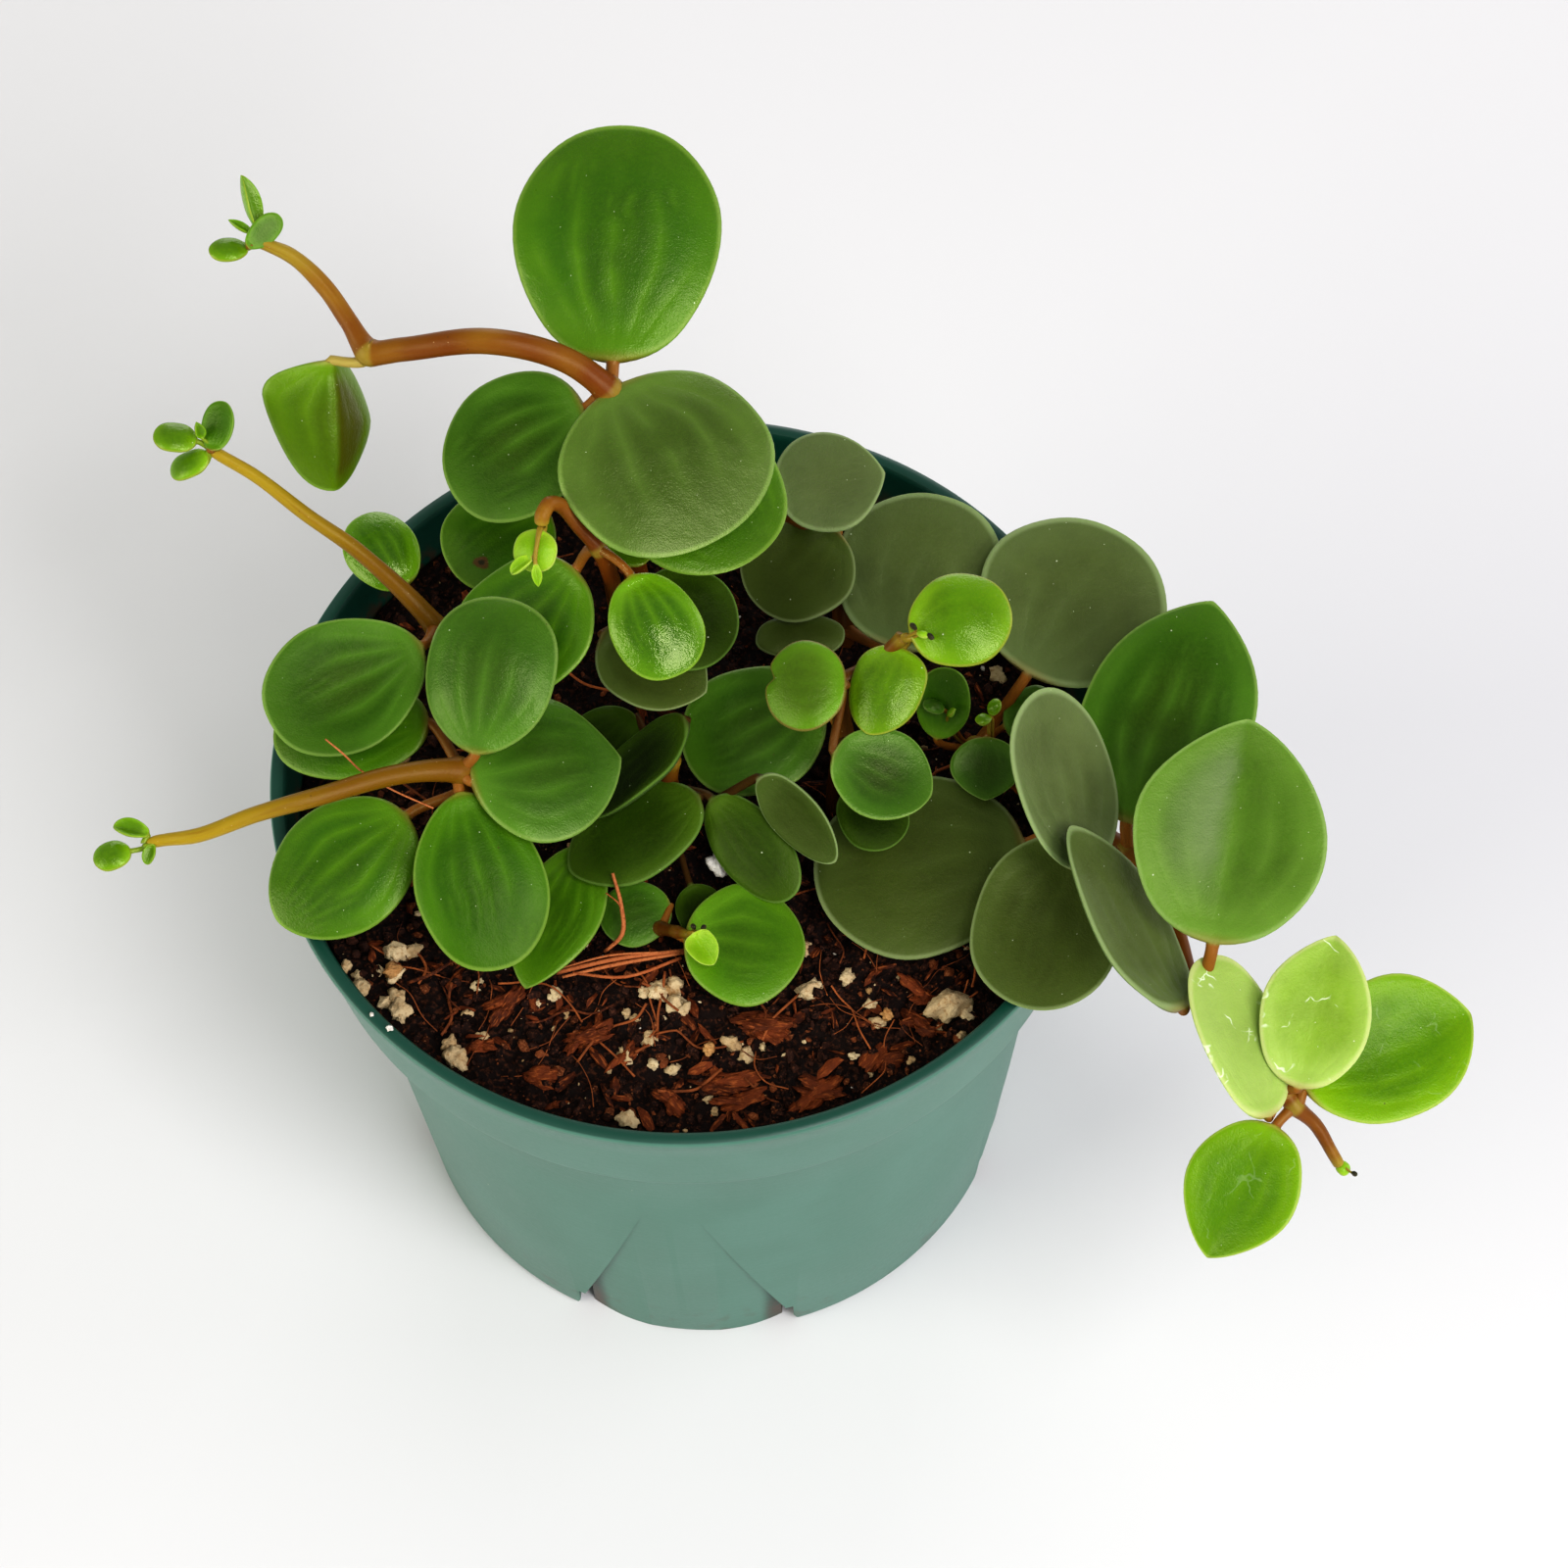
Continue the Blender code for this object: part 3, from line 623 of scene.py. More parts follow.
UPPER = Shoot("upper", BRIGHT, (
    (-6, 27, 67, 1.6), (-6, 27, 80, 1.6), (-8, 32, 98, 1.6), (-9, 33, 112, 1.6), (-8, 32, 120, 1.7),
    (-13, 34, 124, 1.6), (-22, 35, 127, 1.6), (-33, 36.5, 124, 1.5), (-37, 37, 123, 1.5),
    (-39.4, 40.6, 124.6, 1.15), (-42.2, 44.4, 126.8, 1.1), (-46, 47.3, 129.4, 0.95), (-50.2, 48.6, 131, 0.7),
), (
    Leaf(4, (-7.4, 35.2, 122), (86, 22, 0), (30.2, 25.2), BLUNT, CROWNED),
    Leaf(4, (-7, 32, 121.5), (-58, -13, 0), (23, 26.5), WIDE, CROWNED, SATIN),
    Leaf(4, (-11, 31, 118), (-165, -24, -10), (20, 19), ROUND, FLAT, CALM),
    Leaf(3, (-5, 32, 113), (-50, -12, 0), (23, 21.5), ROUND, FLAT),
    Leaf(8, (-42, 37.5, 121), (-91, -52, -28), (17.2, 14), TAPERED, FOLDED, BENT, lean=-0.4),
), (
    Leaf(12, (-50.4, 49.9, 131.5), (104, 38, 50), (6.8, 2.8), SLENDER, HOLLOW, SPROUT),
    Leaf(12, (-50.6, 49.2, 131.5), (152, 18, 0), (3.4, 1.1), SLENDER, HOLLOW, SPROUT),
    Leaf(12, (-51.2, 48.2, 130.5), (-168, 12, 0), (4.8, 3.6), ROUND, DOMED, SPROUT),
    Leaf(12, (-51.3, 47.6, 131.2), (41, 12, 45), (5.6, 3.4), OVAL, CUPPED, GRASS),
), ripening=20.0, bark=ORANGE_BARK)

SIDE_SHOOT = Shoot("side", BRIGHT, (
    (-25, 9, 67, 1.4), (-25, 9, 80, 1.4), (-28, 10, 92, 1.3), (-31, 13, 98, 1.3), (-40, 20, 105, 1.0),
    (-46, 23, 109, 0.9), (-52, 27, 112, 0.82), (-56, 28.8, 114, 0.78), (-57.3, 29.4, 114.6, 0.65),
), (
    Leaf(3, (-35, 20.8, 96), (122, 12, -5), (11.4, 9.1), ROUND, DOMED, GLOSSY),
    Leaf(3, (-32.5, 8.5, 100), (-153, -3, -22), (21, 16.5), OVAL, CUPPED, CALM),
    Leaf(2, (-17, 30.5, 97), (-150, -5, -15), (14.5, 14), ROUND, FLAT, SCARRED),
), (
    Leaf(8, (-58.9, 30.6, 115.2), (172, 11, 0), (5.4, 4.4), ROUND, DOMED, SPROUT),
    Leaf(8, (-57.6, 28.9, 114.3), (-170, -20, 0), (5.6, 4), ROUND, DOMED, SPROUT),
    Leaf(8, (-56.6, 29, 114.8), (76, 30, -25), (6.2, 5), ROUND, CUPPED, GRASS),
    Leaf(8, (-58.3, 30.6, 115.7), (118, 69, 0), (2.4, 1.4), SLENDER, HOLLOW, SPROUT),
), ripening=52.0, bark=OLIVE_BARK)

CROWN = Shoot("crown", BRIGHT, (
    (-6, 13, 67, 1.3), (-6, 13, 80, 1.3), (-8, 14, 96, 1.2), (-10, 15, 111, 1.0), (-12, 16, 114, 0.9),
    (-14.2, 17.3, 117.2, 0.95), (-15.5, 16.6, 118.6, 0.95), (-16.3, 15.2, 118.3, 0.95),
    (-16.5, 14.5, 117, 0.85),
), (
    Leaf(3, (-6, 11, 111), (-65, -20, 5), (13.5, 11), CHUNKY, DOMED, GLOSSY),
    Leaf(3, (-13, 15, 106.5), (-140, -24, 5), (19, 18.5), ROUND, FLAT),
    Leaf(2, (-5, 16, 101), (-37, -18, 10), (13.5, 13), ROUND, FLAT, SHADE_PAINTED),
    Leaf(2, (-10.5, 11.5, 96), (-30, -10, 10), (15, 12.5), POINTED, CUPPED, OLIVE),
), (
    Leaf(8, (-16.4, 14.2, 116.6), (-118, -24, 0), (5.2, 5.6), ROUND, DOMED, TENDER),
    Leaf(8, (-17.6, 11.2, 115), (-160, -28, 0), (3.4, 1.8), ROUND, HOLLOW, TENDER),
    Leaf(8, (-17.4, 10.4, 115), (-84, -44, 0), (2.8, 1.3), SLENDER, HOLLOW, TENDER),
    Leaf(2, (-9.5, 18.7, 104), (8, 0, 0), (6, 5), ROUND, FLAT, YOUNG),
), ripening=3.0, bark=ORANGE_BARK)

LEFT = Shoot("left", BRIGHT, (
    (-25, -3, 67, 1.5), (-25, -3, 80, 1.5), (-27, -7, 92, 1.5), (-28, -8, 98, 1.5), (-35, -10, 101, 1.25),
    (-45, -14, 103, 1.15), (-52, -16, 103, 1.0), (-59, -18, 102, 0.9), (-64, -18, 101, 0.75),
    (-65.5, -18.4, 101, 0.55),
), (
    Leaf(3, (-26, -8, 102), (76, 26, 0), (19.5, 16.5), OVAL, DOMED, DEEP),
    Leaf(3, (-26.4, -9.7, 99), (14, -8, 6), (19.1, 19.7), POINTED, CROWNED, DEEP),
    Leaf(3, (-28, -10.5, 97), (-78, -18, 0), (22, 16), OVAL, ARCHED, MEADOW),
    Leaf(2, (-35, -10.3, 92), (-144, -12, -10), (20.5, 16.5), NIBBED, CROWNED),
    Leaf(2, (-32.2, 2, 93), (178, -8, -10), (19.9, 13), ROUND, FLAT),
), (
    Leaf(9, (-67.2, -19, 101), (-167, 0, 0), (4.6, 4), ROUND, DOMED, SPROUT),
    Leaf(9, (-65, -17.4, 101.3), (165, 10, 0), (4.4, 2.4), ROUND, HOLLOW, SPROUT),
    Leaf(9, (-64.4, -18.4, 101), (-112, -24, 0), (2.6, 1.6), ROUND, HOLLOW, SPROUT),
), ripening=48.0, bark=OLIVE_BARK)

MIDDLE = Shoot("middle", DEEP, (
    (-3, -5, 67, 1.3), (-3, -5, 80, 1.3), (-3, -4, 86, 1.2), (-2, -3, 91, 1.0),
), (
    Leaf(2, (1, -7.4, 88), (-155, -10, 0), (18.5, 12.5), NIBBED, FLAT, SHADED),
    Leaf(3, (0.5, -0.1, 93.5), (-145, -24, 35), (17.5, 13), OVATE, CUPPED, SHADE_PAINTED),
    Leaf(2, (-7, 6.8, 85.2), (-140, -12, 5), (11.5, 10.5), ROUND, FLAT, SHADE_PAINTED),
    Leaf(2, (2.4, -7.6, 88), (-53, -12, 28), (16, 8.8), ROUND, CROWNED, SHADED),
    Leaf(1, (9, -7.5, 93), (-49, -16, 55), (14, 7.5), OVATE, CUPPED, LEAN),
), (
    Leaf(1, (-0.6, -15.6, 80.5), (-70, -10, 0), (7.4, 6.4), ROUND, FLAT, SHADE_PAINTED),
))

FRONT = Shoot("front", BRIGHT, (
    (-6, -17, 67, 1.2), (-6, -19, 76, 1.1), (-4.5, -21.3, 80.2, 0.85), (-2.4, -23.2, 82.6, 0.7),
    (-0.6, -24.8, 84.6, 0.5),
), (
    Leaf(1, (-13.5, -11, 83), (-113, -5, 10), (20, 11.5), POINTED, FLAT, GRASS),
    Leaf(2, (-3.2, -18.1, 80.5), (-165, 0, -10), (9, 8.4), ROUND, FLAT, DEEP),
    Leaf(3, (-1.5, -24, 82.5), (-8, -3, 5), (15, 16), NIBBED, FLAT, GRASS),
), (
    Leaf(4, (-0.3, -25.2, 85.4), (-58, -12, 10), (4.6, 3.8), HEART, HOLLOW, TENDER),
    Leaf(4, (-0.1, -24.8, 86), (120, 40, 0), (0.8, 0.6), ROUND, DOMED, BUD),
    Leaf(4, (0.8, -25, 86), (60, 40, 0), (0.8, 0.6), ROUND, DOMED, BUD),
))

RIGHT = Shoot("right", YOUNG, (
    (18, -3, 67, 1.3), (18, -3, 80, 1.3), (19, -1, 92, 1.2), (19, 1, 100, 1.1), (23, 3, 101, 0.9),
    (27, 4.5, 105, 0.9),
), (
    Leaf(3, (19.5, -1.5, 104), (175, -5, -15), (10, 11.5), ROUND, CROWNED, RUSTY, bite=12),
    Leaf(5, (26.5, 3.5, 104), (-115, -16, 0), (11.5, 9.3), HEART, DOMED, SPRIG),
    Leaf(5, (27.5, 3.2, 107), (14, 10, 15), (12.7, 11.8), ROUND, DOMED),
    Leaf(3, (17.5, -8, 98), (-22, -14, 10), (13, 11.5), NIBBED, CUPPED, CLOUDED),
    Leaf(2, (19.1, -8.1, 90), (-45, -15, 5), (9.3, 8.9), ROUND, FLAT, SHADE_PAINTED),
    Leaf(2, (16.5, 5, 90), (-160, -10, -10), (18.5, 17), ROUND, FLAT, DEEP),
), (
    Leaf(5, (28.3, 3.4, 107.8), (135, 30, 0), (1.1, 0.6), ROUND, DOMED, BUD),
    Leaf(5, (29.5, 2.6, 108), (-46, 15, 0), (1.2, 0.6), ROUND, DOMED, BUD),
    Leaf(5, (28.4, 3, 107.7), (-30, 20, 0), (1.6, 0.9), ROUND, DOMED, TENDER),
))

BACK = Shoot("back", OLIVE, (
    (20, 22, 67, 1.3), (20, 22, 80, 1.3), (18, 29.5, 89, 1.2), (10, 30.5, 97, 1.0),
), (
    Leaf(3, (11.9, 30.5, 99), (10, 0, 12), (14.2, 13.8), POINTED, FLAT, BLOOM_AND_SHEEN),
    Leaf(2, (19.7, 28.6, 92), (-140, -10, 0), (14.1, 15.2), ROUND, FLAT),
    Leaf(1, (26, 14, 87), (68, 19, 0), (21, 21.5), ROUND, FLAT, SAGE),
    Leaf(1, (14.3, 19.3, 87.5), (-90, -4, 0), (6.2, 11.6), ROUND, FLAT),
))

TRAILING = Shoot("trailing", OLIVE, (
    (36, 3, 67, 1.4), (36, 3, 80, 1.4), (38, -1, 83, 1.3), (46, -11, 86, 1.3), (53, -18, 89, 1.3),
    (58, -28, 88, 1.2), (60, -36, 86, 1.2), (65, -43, 83, 1.1), (70, -48.6, 83, 1.1),
    (71.2, -50, 82, 1.0), (73.8, -51.4, 79.5, 0.85), (75.9, -53.9, 76.5, 0.75), (76.9, -55.1, 75, 0.7),
), (
    Leaf(1, (42.5, 7.5, 90), (55, 15, 5), (22, 24), ROUND, FLAT, SAGE),
    Leaf(1, (31, 1, 87), (70, 60, 0), (10, 7), ROUND, CUPPED, BRIGHT),
    Leaf(2, (37, -0.5, 88), (-95, -20, 0), (8, 8.8), POINTED, CUPPED, DEEP),
    Leaf(1, (39.5, 3, 85), (10, 25, 0), (7.4, 8.2), ROUND, FLAT, DEEP),
    Leaf(3, (41, -13.5, 84), (-170, -2, -8), (26.5, 23.5), ROUND, FLAT),
    Leaf(4, (47.4, -16, 88), (-112, -10, 0), (22.8, 18.7), ROUND, CUPPED),
    Leaf(3, (46.8, -22.8, 93), (104, 30, 34), (22.6, 16.4), ROUND, CUPPED, SAGE),
    Leaf(4, (53, -16, 92.8), (65, 22, 0), (30, 21.5), POINTED, ARCHED, CALM),
    Leaf(6, (62, -34, 94), (77, 25, 0), (27.5, 23), POINTED, KEELED, HALVED),
    Leaf(6, (57, -41, 89.5), (120, 20, 38), (25.8, 15), OVATE, CUPPED, MOSS),
    Leaf(8, (67.4, -52.7, 84.5), (109, 22, 22), (20.6, 11.6), WIDE, KEELED, MILKY),
    Leaf(8, (71.4, -49.4, 85.5), (71.5, 24, 0), (18.9, 13.2), POINTED, KEELED, PALE),
    Leaf(9, (72.4, -48.3, 83), (22.3, 4, 20), (22.8, 17.5), PEAKED, KEELED, LIME),
    Leaf(9, (68.9, -52.2, 81), (-124, -24, 0), (17.8, 13.7), POINTED, KEELED, LIME),
), (
    Leaf(1, (31.8, 1.9, 91.5), (168, 22, 0), (2.8, 2), ROUND, DOMED, DEEP),
    Leaf(1, (32.2, 1.1, 91.5), (-22, 67, 0), (1.7, 1.2), ROUND, DOMED, YOUNG),
    Leaf(2, (37.4, 0.2, 92.5), (60, 30, 0), (2.2, 1.7), ROUND, DOMED, YOUNG),
    Leaf(2, (37.4, 0, 92.5), (-150, 20, 0), (2.2, 1.7), ROUND, DOMED, YOUNG),
    Leaf(12, (76.5, -54.7, 75.4), (-35, -20, 0), (1.9, 1.8), ROUND, DOMED, TENDER),
    Leaf(12, (78.1, -55.9, 75.2), (-30, 0, 0), (0.8, 0.5), ROUND, DOMED, BUD),
), bark=ORANGE_BARK)

SHOOTS = (UPPER, SIDE_SHOOT, CROWN, LEFT, MIDDLE, FRONT, RIGHT, BACK, TRAILING)


def clear_selection() -> None:
    """Deselects everything, in object mode."""
    if bpy.context.mode != "OBJECT":
        bpy.ops.object.mode_set(mode="OBJECT")
    bpy.ops.object.select_all(action="DESELECT")


def make_active(piece: bpy.types.Object) -> None:
    """Selects one object alone.

    Args:
        piece: The object.
    """
    clear_selection()
    piece.select_set(True)
    bpy.context.view_layer.objects.active = piece


def pick_points(piece: bpy.types.Object, rule: Callable[[Vector], bool]) -> None:
    """Opens a piece in edit mode with the points selected that pass a rule.

    Args:
        piece: The mesh object.
        rule: Says whether a point is selected, by its place.
    """
    make_active(piece)
    bpy.ops.object.mode_set(mode="EDIT")
    bpy.ops.mesh.select_mode(type="VERT")
    bpy.ops.mesh.select_all(action="DESELECT")
    bpy.ops.object.mode_set(mode="OBJECT")
    for vertex in piece.data.vertices:
        vertex.select = rule(vertex.co)
    bpy.ops.object.mode_set(mode="EDIT")


def apply_modifiers(piece: bpy.types.Object) -> None:
    """Applies all of a piece's modifiers.

    Args:
        piece: The mesh object.
    """
    make_active(piece)
    for modifier in list(piece.modifiers):
        bpy.ops.object.modifier_apply(modifier=modifier.name)


def carve(piece: bpy.types.Object, cutter: bpy.types.Object) -> None:
    """Takes a cutter out of a piece.

    Args:
        piece: The piece.
        cutter: The closed body to take out, which goes.
    """
    modifier = piece.modifiers.new("cut", "BOOLEAN")
    modifier.object = cutter
    modifier.solver = "EXACT"
    apply_modifiers(piece)
    bpy.data.objects.remove(cutter, do_unlink=True)


def close_up(piece: bpy.types.Object, merge: bool = False) -> None:
    """Points all of a piece's faces outwards and shades it smooth.

    Args:
        piece: The closed piece.
        merge: Whether points that lie on each other are merged first.
    """
    make_active(piece)
    bpy.ops.object.mode_set(mode="EDIT")
    bpy.ops.mesh.select_all(action="SELECT")
    if merge:
        bpy.ops.mesh.remove_doubles(threshold=1e-6)
    bpy.ops.mesh.normals_make_consistent(inside=False)
    bpy.ops.object.mode_set(mode="OBJECT")
    bpy.ops.object.shade_smooth()


def copy_piece(blank: bpy.types.Object, name: str) -> bpy.types.Object:
    """Copies a piece with its own mesh.

    Args:
        blank: What is copied.
        name: The copy's name.

    Returns:
        The copy.
    """
    piece = blank.copy()
    piece.data = blank.data.copy()
    piece.name = piece.data.name = name
    bpy.context.scene.collection.objects.link(piece)
    return piece


def place_piece(
    piece: bpy.types.Object, material: bpy.types.Material, nodes: Sequence[str] = (),
) -> None:
    """Gives a piece its material and its body.

    Args:
        piece: The piece, in its place.
        material: Its material.
        nodes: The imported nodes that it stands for.
    """
    piece.data.materials.clear()
    piece.data.materials.append(material)
    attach(piece, "root")
    if nodes:
        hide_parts(*nodes)
    LOG.info("%s: %d points", piece.name, len(piece.data.vertices))


def store(mesh: bpy.types.Mesh, name: str, values: Sequence[float]) -> None:
    """Writes a number for each point of a mesh.

    Args:
        mesh: The mesh.
        name: The attribute's name.
        values: One number for each point.
    """
    mesh.attributes.new(name, "FLOAT", "POINT").data.foreach_set("value", list(values))


def smooth_step(value: float, low: float, high: float) -> float:
    """A smooth step from 0 at low to 1 at high."""
    share = min(max((value - low) / (high - low), 0.0), 1.0)
    return share * share * (3 - 2 * share)


class Path:
    """A stem's middle line, through its points."""

    sharp_turn = 0.68
    corner_share = 0.35

    def __init__(self, points: Sequence[tuple[float, float, float, float]], steps: int = 12) -> None:
        """Samples a smooth curve through the points.

        Args:
            points: The stem's (x, y, z, radius) points in mm.
            steps: Samples between two points.
        """
        places = [Vector(point[:3]) * MM for point in points]
        radii = [point[3] * MM for point in points]
        self.knots = [0]
        self.places = [places[0]]
        self.radii = [radii[0]]
        for i in range(len(places) - 1):
            start, end = places[i], places[i + 1]
            third = (end - start).length / 3
            leave = self.heading(places, i, leaving=True) * third
            reach = self.heading(places, i + 1, leaving=False) * third
            line = interpolate_bezier(start, start + leave, end - reach, end, steps + 1)
            for step, place in enumerate(line[1:], start=1):
                share = smooth_step(step / steps, 0.0, 1.0)
                self.places.append(place)
                self.radii.append(radii[i] + (radii[i + 1] - radii[i]) * share)
            self.knots.append(len(self.places) - 1)
        self.lengths = [0.0]
        for before, after in zip(self.places, self.places[1:]):
            self.lengths.append(self.lengths[-1] + (after - before).length)

    @staticmethod
    def heading(places: Sequence[Vector], index: int, leaving: bool) -> Vector:
        """The line's direction at a point, from its neighbours. A sharp turn at a joint stays a corner.

        Args:
            places: The points.
            index: Which point.
            leaving: Whether the line leaves the point or reaches it.

        Returns:
            A unit vector.
        """
        before = (places[index] - places[max(index - 1, 0)]).normalized()
        after = (places[min(index + 1, len(places) - 1)] - places[index]).normalized()
        if index == 0:
            return after
        if index == len(places) - 1:
            return before
        if before.dot(after) < Path.sharp_turn:
            share = Path.corner_share
            return (before * share + after).normalized() if leaving else (before + after * share).normalized()
        return (before + after).normalized()


class LeafMaker:
    """Makes every leaf from one plain leaf."""

    sectors = 44
    rings = 30
    stalk_steps = 10
    thickness = 1.5 * MM
    stalk_radius = 0.72 * MM
    stalk_sink = 0.45
    stalk_pull = 0.3
    most_pull = 2.5 * MM
    least_pull = 0.2
    squareness = 2.5
    usual_length = 20
    base_reach = 0.22
    bead_height = 0.10
    bead_place = 0.9
    bead_width = 0.06
    wobble = 0.022
    bite_depth = 0.2
    bite_angle = 9

    def __init__(self) -> None:
        """Models the plain leaf: a sphere with poles along Y, and a tube drawn out of the base pole."""
        clear_selection()
        bpy.ops.mesh.primitive_uv_sphere_add(
            segments=self.sectors, ring_count=self.rings, radius=1, rotation=(math.pi / 2, 0, 0))
        self.blank = bpy.context.object
        bpy.ops.object.transform_apply(rotation=True)
        pick_points(self.blank, lambda place: place.y < -0.9999)
        bpy.ops.mesh.delete(type="VERT")
        first_ring = -math.cos(math.pi / self.rings)
        pick_points(self.blank, lambda place: place.y < first_ring + 0.001)
        bpy.ops.mesh.extrude_region_move(TRANSFORM_OT_translate={"value": (0, -1 - first_ring, 0)})
        for _ in range(self.stalk_steps):
            bpy.ops.mesh.extrude_region_move(
                TRANSFORM_OT_translate={"value": (0, -1 / self.stalk_steps, 0)})
        bpy.ops.mesh.edge_face_add()
        bpy.ops.object.mode_set(mode="OBJECT")
        self.materials: dict[str, bpy.types.Material] = {}

    def drop_blank(self) -> None:
        """Removes the plain leaf, once every leaf is made."""
        bpy.data.objects.remove(self.blank, do_unlink=True)

    def material(self, finish: LeafFinish) -> bpy.types.Material:
        """The finish's material, made once.

        Args:
            finish: The finish.

        Returns:
            The material.
        """
        if finish.name not in self.materials:
            self.materials[finish.name] = finish.material()
        return self.materials[finish.name]

    @staticmethod
    def place(leaf: Leaf) -> Matrix:
        """Where the leaf is: heading about Z, pitch up, then roll about its midrib.

        Args:
            leaf: The leaf.

        Returns:
            The way from the leaf's own frame to its place.
        """
        heading, pitch, roll = (math.radians(value) for value in leaf.turn)
        turn = Matrix.Rotation(heading - math.pi / 2, 4, "Z") @ Matrix.Rotation(pitch, 4, "X")
        return Matrix.Translation(Vector(leaf.base) * MM) @ turn @ Matrix.Rotation(roll, 4, "Y")

    def lift(self, leaf: Leaf, across: float, level: float, phase: float) -> float:
        """How far the blade rises off its flat plane, as a share of its half width.

        Args:
            leaf: The leaf.
            across: The place across, as a share of the half width.
            level: The place along, from -1 to 1.
            phase: Where the rim's wave starts.

        Returns:
            The rise.
        """
        form = leaf.form
        along = (level + 1) / 2
        reach = min(across * across + level * level, 1.0)
        fold = form.fold * (math.sqrt(across * across + 0.004) - 0.063)
        wave = form.wave * reach * math.sin(3 * math.atan2(across, level) + phase)
        return form.cup * reach - form.droop * along ** 2 + fold + wave * smooth_step(along, 0.0, 0.4)

    def stalk_line(self, leaf: Leaf, path: Path, start: Vector, ahead: Vector) -> tuple[list[Vector], Vector]:
        """The stalk's middle line, from the blade's base into the stem.

        Args:
            leaf: The leaf.
            path: The stem's line.
            start: The blade's base.
            ahead: The blade's direction there.

        Returns:
            The line's points, and the way out of the stem at its end.
        """
        knot = path.knots[leaf.node]
        node = path.places[knot]
        around = path.places[min(knot + 1, len(path.places) - 1)] - path.places[max(knot - 1, 0)]
        axis = around.normalized()
        away = start - node
        side = (away - axis * away.dot(axis)).normalized()
        end = node + side * path.radii[knot] * self.stalk_sink
        pull = min((end - start).length * self.stalk_pull, self.most_pull)
        back = pull * max((end - start).normalized().dot(-ahead), self.least_pull)
        line = interpolate_bezier(start, start - ahead * back, end + side * pull, end, self.stalk_steps + 1)
        return line, side

    def nibble(self, place: Vector, leaf: Leaf, across: float, level: float) -> None:
        """Pulls a blade's point in where the leaf has its bite.

        Args:
            place: The point in the leaf's own frame, which moves.
            leaf: The leaf.
            across: The place across, as a share of the half width.
            level: The place along, from -1 to 1.
        """
        off = math.degrees(math.atan2(across, level)) - leaf.bite
        near_rim = smooth_step(math.hypot(across, level), 0.6, 1.0)
        pull = self.bite_depth * math.exp(-(off / self.bite_angle) ** 2) * near_rim
        middle = leaf.size[0] * MM / 2
        place.x *= 1 - pull
        place.y = middle + (place.y - middle) * (1 - pull)

    @staticmethod
    def bearing(place: Vector) -> tuple[float, float]:
        """The cosine and sine of a plain leaf's point about its midrib."""
        ring = math.hypot(place.x, place.z)
        return (place.x / ring, place.z / ring) if ring > 1e-6 else (0.0, 0.0)

    def blade_point(
        self, place: Vector, leaf: Leaf, matrix: Matrix, stalk: float, phase: float,
    ) -> tuple[Vector, Point]:
        """Moves a point of the plain leaf to its place on the blade.

        Args:
            place: The point on the plain leaf.
            leaf: The leaf.
            matrix: Where the leaf is.
            stalk: The stalk's radius.
            phase: Where the rim's wave starts.

        Returns:
            The point, and where it is across, along and up.
        """
        length, width = (value * MM for value in leaf.size)
        cosine, sine = self.bearing(place)
        thick = self.thickness * min(1.0, 0.55 + leaf.size[1] / 30)
        power = 2 / self.squareness
        level = max(place.y, -1.0)
        along = leaf.outline.along(level)
        span = math.copysign(abs(cosine) ** power, cosine)
        height = math.copysign(abs(sine) ** power, sine)
        near_base = 1 - smooth_step(along, 0.0, self.base_reach)
        half = math.hypot(leaf.outline.half_width(level) * width / 2, stalk * near_base)
        body = thick / 2 * max(1 - abs(level) ** self.squareness, 0.0) ** power
        deep = max(body, stalk * near_base)
        across = span * math.sqrt(max(1 - level * level, 0.0))
        from_bead = (math.hypot(across, level) - self.bead_place) / self.bead_width
        bead = 1 + self.bead_height * math.exp(-from_bead ** 2)
        rise = self.lift(leaf, across, level, phase) * width / 2
        swing = math.sin(4 * math.atan2(across, level) + 2 * phase)
        wobble = 1 + self.wobble * swing * (1 - near_base)
        flat = Vector((span * half * wobble, along * length, height * deep * bead + rise))
        flat.y += leaf.lean * flat.x * (1 - level * level)
        if leaf.bite is not None:
            self.nibble(flat, leaf, across, level)
        return matrix @ flat, (span, along, height)

    def stalk_point(
        self, place: Vector, line: Sequence[Vector], side: Vector, matrix: Matrix, stalk: float,
    ) -> tuple[Vector, Point]:
        """Moves a point of the plain leaf to its place on the stalk.

        Args:
            place: The point on the plain leaf.
            line: The stalk's middle line.
            side: The way out of the stem.
            matrix: Where the leaf is.
            stalk: The stalk's radius.

        Returns:
            The point, and where it is across, along and up.
        """
        cosine, sine = self.bearing(place)
        share = min(-1 - place.y, 1.0)
        step = round(share * self.stalk_steps)
        last = step == self.stalk_steps
        ahead = -side if last else (line[step + 1] - line[step - 1]).normalized()
        right = matrix.col[0].to_3d()
        right = (right - ahead * right.dot(ahead)).normalized()
        up = right.cross(-ahead)
        radius = stalk * (0.92 + 0.35 * share ** 4)
        return line[step] + (right * cosine + up * sine) * radius, (cosine * 0.5, -share, sine)

